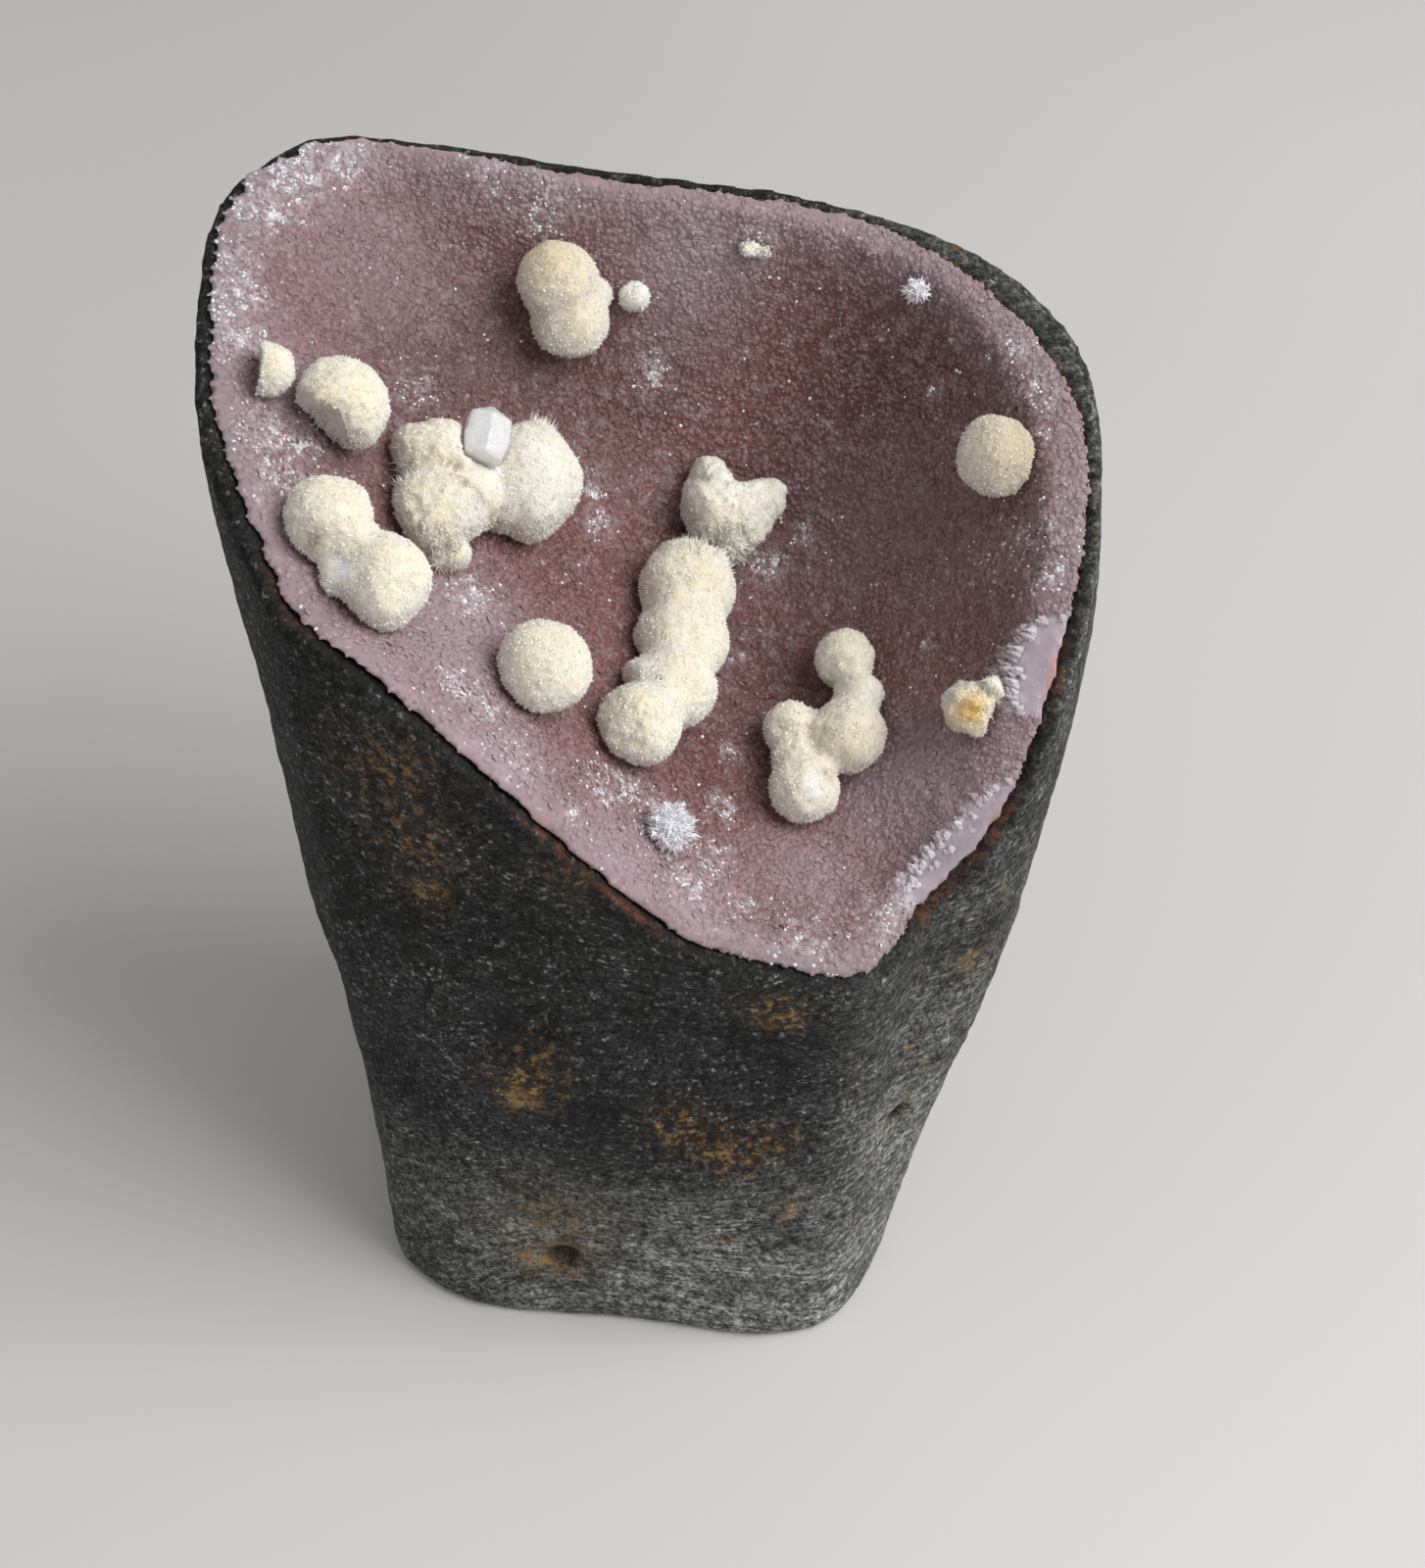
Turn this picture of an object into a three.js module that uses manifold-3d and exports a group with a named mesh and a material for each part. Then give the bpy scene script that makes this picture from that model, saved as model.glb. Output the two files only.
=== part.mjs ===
// Okenite puffballs on a mauve quartz druse, lining a hollow in a ground basalt stone.
// Millimetres, +Z up. The stone stands on its flat-cut foot; -Y is the side the hollow opens to.
// The origin is the centre of the foot of the bounding box.

import * as THREE from "three";
import { mergeVertices } from "three/addons/utils/BufferGeometryUtils.js";
import Module from "manifold-3d";

const wasm = await Module();
wasm.setup();

// ---------------------------------------------------------------- driving dimensions

const AROUND = 52;          // facets round the stone and round the hollow
const GAP = 0.3;            // clearance between touching pieces
const FOOT_CHAMFER = 1.2;   // ground edge round the flat foot
const LIP_DROP = 0.3;       // how far the lip falls, per millimetre of its width
const UNDERCUT = 1.6;       // how far the front wall steps back under the rim
const LEFT_STEP = 1.2;      // how far the lower left of the wall was ground back
const WALL_WAVE = 0.35;     // flats left by grinding
const WAVES = { up: 9, around: 25 };
const WAIST = { height: 0.74, spread: 0.17 };
const GROUND = { top: 0.5, fade: 0.1, bottom: 0.2 };

const HOLLOW_DEPTH = 20.5;  // from the mouth to the deepest crystals, along the hollow's axis
const CRUST = 3.6;          // thickness of the quartz under the hollow's floor
const FLOOR_REACH = 27;     // radius that the rings of the floor start from
const CORNER_FADE = 0.16;   // part of the mouth's edge that a point near the centre averages
const BOWL_POWER = 2.1;     // 2 is a plain bowl, 3 a flat floor with a steep wall
const CLEAR_OF_STONE = 60;  // a height over the mouth that is clear of the whole stone
const HOLLOW_CENTRE = new THREE.Vector3(9, 6, 90.1);
const HOLLOW_AXIS = new THREE.Vector3(0.294, -0.605, 1).normalize();

const SEAT = 0.7;           // height of a puffball's centre over the druse, as a share of its radius
const FINE_BALL = 3.8;      // puffballs from this radius up have finer facets
const PRESSED = 0.55;       // height over the druse of the flat that a puffball rests on
const BALL_LUMPS = 0.035;   // unevenness of a puffball, as a share of its radius
const LUMP_RATE = [5, 6, 7]; // how close its lumps are, along each axis

const TOOTH_COUNT = 46;     // quartz points along the inner edge of the cut band
const SCATTER_COUNT = 16;   // larger quartz points on the floor and walls
const ROOTED = 0.3;         // share of a quartz point that is sunk in what it grows from
const TOOTH = { radius: [0.7, 1.25], height: [1.6, 2.6], lean: 0.9, sway: 0.9 };
const SCATTER = { radius: [0.6, 1.0], height: [1.2, 1.9], lean: 0.6, sway: 0.9 };
const TOOTH_REACH = [0.93, 0.99];     // shares of the way out to the band that teeth grow at
const SCATTER_REACH = [0.05, 0.8];    // the same for the larger points, squared

// Stations round the stone, counter-clockwise from the notch at the front of the mouth: the outer
// edge of the quartz, the foot of the wall, the width of the cut quartz band, the width of the
// stone lip outside it, and how far the outer wall bulges above half height.
const STATIONS = [
  { rim: [12.5, -27, 58], foot: [9.5, -28], band: 3.2, lip: 0.8, belly: 0 },
  { rim: [17, -24, 57.5], foot: [13, -26.5], band: 3.8, lip: 0.8, belly: 0 },
  { rim: [20.5, -18.5, 59.5], foot: [15.5, -23.5], band: 4.2, lip: 0.8, belly: 0.2 },
  { rim: [26, -16.5, 65.5], foot: [17.5, -19.5], band: 4.6, lip: 0.8, belly: 0.6 },
  { rim: [30.5, -12, 73.5], foot: [19, -15.5], band: 4.6, lip: 0.8, belly: 2.2 },
  { rim: [33.5, -5.5, 82], foot: [20, -11], band: 4.2, lip: 0.9, belly: 3 },
  { rim: [35.5, 0.5, 89], foot: [20.5, -6.5], band: 3.8, lip: 0.8, belly: 3.2 },
  { rim: [36, 7, 92.5], foot: [20.5, -2], band: 4.4, lip: 0.9, belly: 3.2 },
  { rim: [35.5, 13, 95.5], foot: [20, 2.5], band: 4.6, lip: 1.6, belly: 3.2 },
  { rim: [32.5, 20.5, 98], foot: [18.5, 7.5], band: 4, lip: 3.6, belly: 3 },
  { rim: [26.5, 27, 101], foot: [15.5, 12.5], band: 3.2, lip: 4.4, belly: 3 },
  { rim: [19.5, 32, 103], foot: [11.5, 16], band: 2.6, lip: 2.4, belly: 3 },
  { rim: [11, 34, 105], foot: [6, 18], band: 2.4, lip: 1.7, belly: 3 },
  { rim: [1.5, 34, 107], foot: [-0.5, 19], band: 2.2, lip: 1.6, belly: 3 },
  { rim: [-8.5, 33.5, 108.5], foot: [-8, 19.5], band: 2, lip: 2, belly: 3 },
  { rim: [-19.5, 33, 111], foot: [-16, 19], band: 2, lip: 2.2, belly: 3 },
  { rim: [-29, 33, 112.5], foot: [-23, 17.5], band: 2, lip: 2.4, belly: 2.6 },
  { rim: [-36, 32.5, 113.5], foot: [-28.5, 15], band: 2.2, lip: 2.2, belly: 2.2 },
  { rim: [-41, 28.5, 113.5], foot: [-32.5, 11], band: 2.6, lip: 1.8, belly: 1.4 },
  { rim: [-45, 24, 112.5], foot: [-35, 6.5], band: 2.6, lip: 1.4, belly: 0.6 },
  { rim: [-46, 17, 110.5], foot: [-35.5, 2], band: 2.2, lip: 1.6, belly: 0.8 },
  { rim: [-45.5, 7.5, 107.5], foot: [-36.5, -4], band: 2, lip: 1.6, belly: 0.5 },
  { rim: [-44.5, -0.5, 104.5], foot: [-36.5, -9.5], band: 1.8, lip: 1.7, belly: 0.4 },
  { rim: [-41.5, -7.5, 100.5], foot: [-36, -14.5], band: 1.8, lip: 1.7, belly: 0.4 },
  { rim: [-37.5, -15.5, 95], foot: [-34.5, -18.5], band: 1.8, lip: 1.2, belly: 0.4 },
  { rim: [-32.5, -19.5, 93.5], foot: [-30.5, -22], band: 2, lip: 0.8, belly: -0.2 },
  { rim: [-26, -23, 89], foot: [-25.5, -24.5], band: 2.2, lip: 0.7, belly: 0 },
  { rim: [-18, -25.5, 81], foot: [-18.5, -25.5], band: 2.4, lip: 0.7, belly: 0 },
  { rim: [-10.5, -27, 72.5], foot: [-11, -26], band: 2.6, lip: 0.7, belly: 0 },
  { rim: [-3.5, -27.5, 65], foot: [-4, -27], band: 2.6, lip: 0.7, belly: 0 },
  { rim: [1.5, -27.5, 62], foot: [1, -28], band: 2.6, lip: 0.7, belly: 0 },
  { rim: [7, -27, 59.5], foot: [5.5, -28.5], band: 2.8, lip: 0.7, belly: 0 },
];

// Pits and gas bubbles that grinding opened in the stone: a place on or just over the wall and
// the three half-axes of the hollow.
const STONE_PITS = [
  { at: [-16.2, -26.2, 11], size: [1.7, 1.5, 1.4] },
  { at: [-17, -26.4, 51.5], size: [2.4, 1.6, 3.6] },
  { at: [-26, -23.8, 66.4], size: [2.2, 1.3, 1.3] },
  { at: [19.5, -21.2, 30], size: [1.4, 1.4, 1] },
];

// Okenite puffballs. Each ball is [u, v, radius]: its place over the hollow, in millimetres to the
// right (u) and up the slope (v) of the hollow's centre. A fourth number is the height of its
// centre over the druse, where it isn't the usual seat. A bite is what has broken away: how far
// right, up the slope and out of the hollow it is centred from the first ball, and its radius.
const PUFFBALLS = [
  { name: "puffball_back", balls: [[-23, 25, 4.1], [-21.5, 22, 4], [-19, 24, 1.8]] },
  { name: "puffball_back_white", balls: [[-15.2, 24, 1.7]] },
  { name: "puffball_back_tiny", balls: [[-4.5, 28, 1], [-3, 27.8, 0.8]] },
  { name: "puffball_half_left", balls: [[-52.4, 7.3, 2.7]], bites: [[-6.1, 0, 0.5, 6]] },
  { name: "puffball_broken_left", balls: [[-46, 5, 4.5]], bites: [[-7.6, -7.4, 1.5, 9]] },
  { name: "puffball_pair_left", balls: [[-47, -7.5, 4.1], [-41.6, -13.4, 4.35, 3.6], [-44.9, -11.6, 2]] },
  {
    name: "puffball_cluster_middle",
    balls: [[-27.3, 2.4, 5.5], [-36.5, -3.2, 3.9], [-35.9, 2.5, 4.1], [-33, 1, 3.6], [-34.3, -6.2, 1.8]],
    bites: [[-14.4, 10.1, 1, 9]],
  },
  { name: "puffball_single", balls: [[-26.5, -19, 4.5]] },
  {
    name: "puffball_star",
    balls: [[-3.7, 5.4, 4.2], [-5.7, 8.3, 2.6], [1, 7.5, 1.8], [-2.4, 2.8, 2]],
    bites: [[1.4, 4.7, 1.6, 1.6]],
    lumps: 0.08,
  },
  {
    name: "puffball_chain",
    balls: [[-9.6, -5.4, 5], [-10.1, -11.7, 4.6], [-12, -17.3, 4.4], [-16.2, -22.2, 4.2]],
  },
  {
    name: "puffball_cluster_front",
    balls: [
      [9.3, -11.5, 3.2], [10.2, -15.6, 2.5, 2.2], [9.2, -20, 3.9, 3.1],
      [2.7, -19.6, 3, 3.5], [3.1, -22.8, 2.7, 3], [3.5, -25.9, 3.7, 3],
    ],
  },
  { name: "puffball_right", balls: [[20.5, 5, 4]] },
  {
    name: "puffball_broken_right",
    balls: [[17.9, -19, 2.6], [18.9, -17.6, 1.4], [17.1, -17.5, 1.4], [17.2, -16.6, 1], [18.1, -21, 1]],
    lumps: 0.08,
  },
];

const CRYSTAL = {
  on: "puffball_cluster_middle",
  at: [-33.5, 4],
  over: 7,
  radius: 2.5,
  height: 5.6,
  tilt: [0.5, 0.35],
};
const NEEDLE_RADIUS = 0.5;
const NEEDLE_FOOT = 0.7;    // where a needle starts in its mound, as a share of the mound's radius
const SPRAYS = [
  { name: "spray_front", at: [-12.5, -31.5], radius: 2, needles: 9, needle: 2.6 },
  { name: "spray_right", at: [12, 23.5], radius: 1.1, needles: 4, needle: 1.6 },
];

// ---------------------------------------------------------------- colours

const material = (color, roughness) => new THREE.MeshStandardMaterial({ color, roughness, metalness: 0 });

const BASALT = material(0x4a4b4c, 0.85);
const QUARTZ = material(0xa58791, 0.45);
const OKENITE = material(0xe9dfc4, 0.95);
const WHITE_QUARTZ = material(0xdcd8da, 0.3);

// ---------------------------------------------------------------- solids and random numbers

function solid(geometry) {
  const bare = geometry.clone();
  bare.deleteAttribute("normal");
  bare.deleteAttribute("uv");
  const merged = mergeVertices(bare, 1e-4);
  const vertProperties = new Float32Array(merged.attributes.position.array);
  const triVerts = new Uint32Array(merged.index.array);
  return new wasm.Manifold(new wasm.Mesh({ numProp: 3, vertProperties, triVerts }));
}

function geometryOf(body) {
  const { vertProperties, triVerts } = body.getMesh();
  const geometry = new THREE.BufferGeometry();
  geometry.setAttribute("position", new THREE.BufferAttribute(vertProperties, 3));
  geometry.setIndex(new THREE.BufferAttribute(triVerts, 1));
  geometry.computeVertexNormals();
  return geometry;
}

const joined = (bodies) => bodies.reduce((whole, body) => whole.add(body));

// A repeatable stream of numbers from 0 to 1
function stream(seed) {
  let state = seed;
  return () => {
    state = (state * 1664525 + 1013904223) % 4294967296;
    return state / 4294967296;
  };
}

const between = (random, [low, high]) => low + (high - low) * random();

// ---------------------------------------------------------------- the mouth and its rings

const UP = new THREE.Vector3(0, 0, 1);
const ACROSS = new THREE.Vector3(1, 0, 0).projectOnPlane(HOLLOW_AXIS).normalize();
const UPSLOPE = new THREE.Vector3().crossVectors(HOLLOW_AXIS, ACROSS);
const STONE_AXIS = new THREE.Vector3(-4, 2, 0);
const FOOT_CENTRE = new THREE.Vector3(-8.5, -4, 0);

const loop = (points) => new THREE.CatmullRomCurve3(points, true, "catmullrom", 0.5);
const rimCurve = loop(STATIONS.map(({ rim }) => new THREE.Vector3(...rim)));
const footCurve = loop(STATIONS.map(({ foot }) => new THREE.Vector3(...foot, 0)));
const widthCurve = loop(STATIONS.map(({ band, lip, belly }) => new THREE.Vector3(band, lip, belly)));

// Horizontal direction away from the stone's axis at a point
function outward(point) {
  return point.clone().sub(STONE_AXIS).setZ(0).normalize();
}

// A point of a curve round the stone, averaged over a stretch that widens towards the hollow's
// centre, so that corners of the mouth fade out on the floor
function softened(curve, t, share) {
  const reach = CORNER_FADE * (1 - share);
  const steps = [-1, -0.5, 0, 0.5, 1];
  const total = new THREE.Vector3();
  steps.forEach((step) => total.add(curve.getPoint((t + step * reach + 1) % 1)));
  return total.divideScalar(steps.length);
}

// A point between the hollow's centre (share 0) and an edge point (share 1), sunk below the mouth
// by the depth at the centre and by nothing at the edge. The floor is round whatever the edge is.
function bowlPoint(edge, share, depth) {
  const arm = edge.clone().sub(HOLLOW_CENTRE);
  const rise = arm.dot(HOLLOW_AXIS);
  const flat = arm.addScaledVector(HOLLOW_AXIS, -rise);
  const reach = FLOOR_REACH + (flat.length() - FLOOR_REACH) * share ** 1.2;
  const height = rise * share ** 2 - depth * (1 - share ** BOWL_POWER);
  return flat.setLength(reach * share).addScaledVector(HOLLOW_AXIS, height).add(HOLLOW_CENTRE);
}

// The druse's crystal face, from the middle of the floor to the inner edge of the cut band
function druseFace(share) {
  return (t) => {
    const rim = softened(rimCurve, t, share);
    const band = widthCurve.getPoint(t).x;
    const edge = rim.lerp(HOLLOW_CENTRE, band / rim.distanceTo(HOLLOW_CENTRE));
    return bowlPoint(edge, share, HOLLOW_DEPTH);
  };
}

// The face between the druse and the stone, moved out into the stone by a clearance
function contactFace(share, clearance = 0) {
  return (t) => {
    const rim = softened(rimCurve, t, share);
    const edge = rim.addScaledVector(outward(rim), clearance).addScaledVector(HOLLOW_AXIS, -clearance);
    return bowlPoint(edge, share, HOLLOW_DEPTH + CRUST + clearance);
  };
}

// A closed skin through rings, the first and last of them drawn to a point
function skin(rings) {
  const geometry = new THREE.SphereGeometry(1, AROUND, rings.length - 1);
  const { position } = geometry.attributes;
  rings.forEach((ring, row) => {
    for (let column = 0; column <= AROUND; column += 1) {
      const point = ring((column % AROUND) / AROUND);
      position.setXYZ(row * (AROUND + 1) + column, point.x, point.y, point.z);
    }
  });
  return geometry;
}

// The same skin with its faces turned the other way, for rings that run from the underside up
function turned(geometry) {
  const { array } = geometry.index;
  for (let i = 0; i < array.length; i += 3) {
    [array[i], array[i + 1]] = [array[i + 1], array[i]];
  }
  return geometry;
}

const rows = (shares, ring) => shares.map((share) => ring(share));

// ---------------------------------------------------------------- basalt stone

// The ground lip outside the quartz, at a share of its width
function lipRing(share) {
  return (t) => {
    const rim = rimCurve.getPoint(t);
    const lip = widthCurve.getPoint(t).y * share;
    return rim.addScaledVector(outward(rim), GAP + lip).addScaledVector(UP, -LIP_DROP * lip * share);
  };
}

// The outer wall, from the chamfer over the foot (height 0) to the lip (height 1)
function wallRing(height) {
  const lip = lipRing(1);
  const waist = Math.exp(-(((height - WAIST.height) / WAIST.spread) ** 2));
  const belly = Math.sin(Math.PI * height ** 2);
  const fade = THREE.MathUtils.smoothstep(GROUND.top - height, 0, GROUND.fade);
  const ground = fade * Math.min(1, height / GROUND.bottom);
  return (t) => {
    const foot = footCurve.getPoint(t).setZ(FOOT_CHAMFER);
    const point = foot.addScaledVector(outward(foot), FOOT_CHAMFER / 2).lerp(lip(t), height);
    const away = outward(point);
    const front = Math.max(0, -away.y) ** 1.5;
    const wave = WALL_WAVE * Math.sin(WAVES.up * height + WAVES.around * t);
    const step = LEFT_STEP * Math.max(0, -away.x) * ground;
    const bulge = (widthCurve.getPoint(t).z + wave) * belly - front * UNDERCUT * waist - step;
    return point.addScaledVector(away, bulge);
  };
}

function stonePit({ at, size }) {
  const pit = new THREE.IcosahedronGeometry(1, 1);
  pit.scale(...size);
  pit.translate(...at);
  return solid(pit);
}

const contactShares = [0.22, 0.43, 0.62, 0.78, 0.91, 1];

// The stone with its hollow ground out to the back of the druse, plus a clearance
function stoneBody(clearance) {
  return solid(skin([
    contactFace(0, clearance),
    ...rows(contactShares, (share) => contactFace(share, clearance)),
    lipRing(0.5),
    ...rows([1, 0.94, 0.85, 0.74, 0.62, 0.5, 0.42, 0.28, 0.12, 0], wallRing),
    (t) => footCurve.getPoint(t),
    () => FOOT_CENTRE,
  ]));
}

const stone = stoneBody(GAP).subtract(joined(STONE_PITS.map(stonePit)));

// ---------------------------------------------------------------- quartz druse

const faceShares = [1, 0.94, 0.85, 0.74, 0.61, 0.47, 0.32, 0.16];

const crustSkin = turned(skin([
  contactFace(0),
  ...rows(contactShares, (share) => contactFace(share)),
  ...rows(faceShares, (share) => druseFace(share)),
  druseFace(0),
]));
const crust = new THREE.Mesh(crustSkin);

// Where the hollow's face lies under (u, v): the point, and the face's normal there
function faceUnder(u, v) {
  const over = HOLLOW_CENTRE.clone().addScaledVector(ACROSS, u).addScaledVector(UPSLOPE, v);
  over.addScaledVector(HOLLOW_AXIS, CLEAR_OF_STONE);
  const ray = new THREE.Raycaster(over, HOLLOW_AXIS.clone().negate());
  const [hit] = ray.intersectObject(crust);
  return { point: hit.point, normal: hit.face.normal.clone() };
}

// The place at a distance from the face, square to it at (u, v)
function placeOver(u, v, distance) {
  const { point, normal } = faceUnder(u, v);
  return point.addScaledVector(normal, distance);
}

// A six-sided quartz point, its foot sunk in what it grows from
function quartzPoint(root, direction, radius, height) {
  const point = new THREE.ConeGeometry(radius, height, 6, 1);
  point.translate(0, height * (0.5 - ROOTED), 0);
  point.applyQuaternion(new THREE.Quaternion().setFromUnitVectors(new THREE.Vector3(0, 1, 0), direction));
  point.translate(root.x, root.y, root.z);
  return solid(point);
}

const ballFeet = PUFFBALLS.flatMap(({ balls }) => balls)
  .concat(SPRAYS.map(({ at, radius, needle }) => [...at, radius + needle / 2]))
  .map(([u, v, radius]) => ({ centre: placeOver(u, v, radius * SEAT), radius }));

const clearOfBalls = (point, height) =>
  ballFeet.every(({ centre, radius }) => centre.distanceTo(point) > radius + height + GAP);

function quartzPoints() {
  const random = stream(7);
  const anyWay = () => new THREE.Vector3(random() - 0.5, random() - 0.5, random() - 0.5);
  const points = [];
  const grow = (t, share, { radius, height, lean, sway }) => {
    const root = druseFace(share)(t);
    const inward = HOLLOW_CENTRE.clone().sub(root).projectOnPlane(HOLLOW_AXIS).normalize();
    const direction = HOLLOW_AXIS.clone().addScaledVector(inward, lean).addScaledVector(anyWay(), sway);
    const size = between(random, radius);
    const length = between(random, height);
    if (clearOfBalls(root, length)) {
      points.push(quartzPoint(root, direction.normalize(), size, length));
    }
  };
  for (let i = 0; i < TOOTH_COUNT; i += 1) {
    const t = (i + 0.6 * random()) / TOOTH_COUNT;
    grow(t, between(random, TOOTH_REACH), TOOTH);
  }
  for (let i = 0; i < SCATTER_COUNT; i += 1) {
    const t = random();
    grow(t, Math.sqrt(between(random, SCATTER_REACH)), SCATTER);
  }
  return points;
}

const druse = solid(crustSkin).add(joined(quartzPoints()).subtract(stoneBody(0)));

// ---------------------------------------------------------------- okenite puffballs

// A lumpy ball over (u, v), pressed flat where it rests on the druse
function puffball([u, v, radius, height = radius * SEAT], lumps) {
  const { point: foot, normal } = faceUnder(u, v);
  const centre = foot.clone().addScaledVector(normal, height);
  const geometry = new THREE.IcosahedronGeometry(radius, radius < FINE_BALL ? 1 : 2);
  const { position } = geometry.attributes;
  const point = new THREE.Vector3();
  for (let i = 0; i < position.count; i += 1) {
    point.fromBufferAttribute(position, i);
    const [x, y, z] = point.clone().divideScalar(radius).toArray();
    const bump = Math.sin(LUMP_RATE[0] * x + centre.x)
      + Math.sin(LUMP_RATE[1] * y + centre.y)
      + Math.sin(LUMP_RATE[2] * z + centre.z);
    point.multiplyScalar(1 + lumps * bump / 2).add(centre);
    const clearance = point.clone().sub(foot).dot(normal);
    point.addScaledVector(normal, Math.max(0, PRESSED - clearance));
    position.setXYZ(i, point.x, point.y, point.z);
  }
  return solid(geometry);
}

// What has broken away near a puffball's first ball
function bite([right, up, out, radius], [u, v, ballRadius]) {
  const centre = placeOver(u, v, ballRadius * SEAT)
    .addScaledVector(ACROSS, right)
    .addScaledVector(UPSLOPE, up)
    .addScaledVector(HOLLOW_AXIS, out);
  const geometry = new THREE.IcosahedronGeometry(radius, 1);
  geometry.translate(centre.x, centre.y, centre.z);
  return solid(geometry);
}

function puffballGroup({ balls, bites = [], lumps = BALL_LUMPS }) {
  const grown = joined(balls.map((ball) => puffball(ball, lumps)));
  return bites.length ? grown.subtract(joined(bites.map((place) => bite(place, balls[0])))) : grown;
}

// ---------------------------------------------------------------- quartz on the puffballs and the spray

// A stubby quartz crystal with a six-sided point, drawn larger by a margin
function crystal(margin = 0) {
  const { at: [u, v], radius, height, over, tilt } = CRYSTAL;
  const wide = radius + margin;
  const half = height / 2 + margin;
  const profile = [[0, -1], [0.8, -1], [1, -0.3], [0.9, 0.5], [0, 1]];
  const body = new THREE.LatheGeometry(profile.map(([x, y]) => new THREE.Vector2(x * wide, y * half)), 6);
  const { x, y, z } = placeOver(u, v, over);
  body.rotateX(tilt[0]);
  body.rotateY(tilt[1]);
  body.translate(x, y, z);
  return solid(body);
}

// A low mound of white needles
function spray({ at: [u, v], radius, needles, needle }) {
  const random = stream(23);
  const centre = placeOver(u, v, radius * SEAT);
  const spikes = [];
  for (let i = 0; i < needles; i += 1) {
    const turn = (i + random()) * 2 * Math.PI / needles;
    const direction = ACROSS.clone().multiplyScalar(Math.cos(turn))
      .addScaledVector(UPSLOPE, Math.sin(turn))
      .addScaledVector(HOLLOW_AXIS, 0.5 + 0.5 * random())
      .normalize();
    const root = centre.clone().addScaledVector(direction, radius * NEEDLE_FOOT);
    spikes.push(quartzPoint(root, direction, NEEDLE_RADIUS, needle));
  }
  return joined([puffball([u, v, radius], BALL_LUMPS), ...spikes]);
}

// ---------------------------------------------------------------- the specimen

const specimen = new THREE.Group();

function add(name, body, finish) {
  const mesh = new THREE.Mesh(geometryOf(body), finish);
  mesh.name = name;
  specimen.add(mesh);
}

add("basalt_stone", stone, BASALT);
add("quartz_druse", druse, QUARTZ);
for (const group of PUFFBALLS) {
  const body = puffballGroup(group);
  add(group.name, group.name === CRYSTAL.on ? body.subtract(crystal(GAP)) : body, OKENITE);
}
add("quartz_crystal_middle", crystal(), WHITE_QUARTZ);
for (const group of SPRAYS) {
  add(group.name, spray(group), WHITE_QUARTZ);
}

// Bring the middle of the foot of the bounding box to the origin
const box = new THREE.Box3().setFromObject(specimen);
const middle = box.getCenter(new THREE.Vector3());
specimen.position.set(-middle.x, -middle.y, -box.min.z);

const part = new THREE.Group();
part.add(specimen);

export default part;
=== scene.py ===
# Finishes for an okenite specimen: ground basalt, a mauve quartz druse and fibrous puffballs.
# The packed solids are the frame. Metres, +Z up; a size in millimetres is written times MM.

import math
from functools import partial, reduce

import bmesh
import bpy
import numpy as np
from bpy.props import FloatProperty, FloatVectorProperty, PointerProperty
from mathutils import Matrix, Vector
from mathutils import noise as solid_noise
from mathutils.kdtree import KDTree


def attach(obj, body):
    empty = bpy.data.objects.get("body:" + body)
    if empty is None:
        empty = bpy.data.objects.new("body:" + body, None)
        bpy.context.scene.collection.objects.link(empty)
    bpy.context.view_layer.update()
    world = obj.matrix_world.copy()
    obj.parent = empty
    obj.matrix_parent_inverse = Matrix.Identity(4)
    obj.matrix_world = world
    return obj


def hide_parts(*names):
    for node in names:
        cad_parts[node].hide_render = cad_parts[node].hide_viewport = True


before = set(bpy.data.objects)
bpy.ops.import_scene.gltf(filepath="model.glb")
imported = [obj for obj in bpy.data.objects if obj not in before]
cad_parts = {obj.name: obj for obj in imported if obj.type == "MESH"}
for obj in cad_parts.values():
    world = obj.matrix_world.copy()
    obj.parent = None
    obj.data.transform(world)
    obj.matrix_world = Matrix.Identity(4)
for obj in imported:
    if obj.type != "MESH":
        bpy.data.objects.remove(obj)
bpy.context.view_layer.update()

bl_info = {
    "name": "Okenite on quartz",
    "version": (1, 0, 0),
    "blender": (4, 5, 0),
    "location": "3D View > Sidebar > Okenite",
    "description": "Dresses a mineral specimen: basalt, quartz druse and okenite puffballs",
    "category": "Object",
}

MM = 0.001
BODY = "root"

# ---- places on the specimen

# The hollow's own axes: u runs right and v up the slope, both in the plane of its mouth.
HOLLOW_CENTRE = Vector((14.09, 2.52, 90.1)) * MM
HOLLOW_AXIS = Vector((0.294, -0.605, 1)).normalized()
ACROSS = (Vector((1, 0, 0)) - HOLLOW_AXIS * HOLLOW_AXIS.x).normalized()
UPSLOPE = HOLLOW_AXIS.cross(ACROSS)
SECTORS = 720  # the steps of a turn round the mouth
EDGE_SAMPLES = 60  # the places taken along each edge of the druse's mesh
MERGE = 0.001 * MM  # corners that lie closer than this are one

# Where the crust runs out over the stone's rim, by the turn about the hollow's middle from -u
# through +v to +u, in degrees, and how far, in millimetres
BRIM_MIDDLE = 15  # the middle of the hollow's length lies this far along -u
BRIM_TURNS = (-40, -20, 0, 20, 35, 50, 70, 180)
BRIM_WIDTHS = (0, 0.5, 0.8, 1.1, 1.3, 0.9, 0.2, 0.2)
BRIM_START = 2.5  # how far inside its edge the crust starts to run out
BRIM_LIFT = 0.12  # how far it is lifted for each millimetre out

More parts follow.
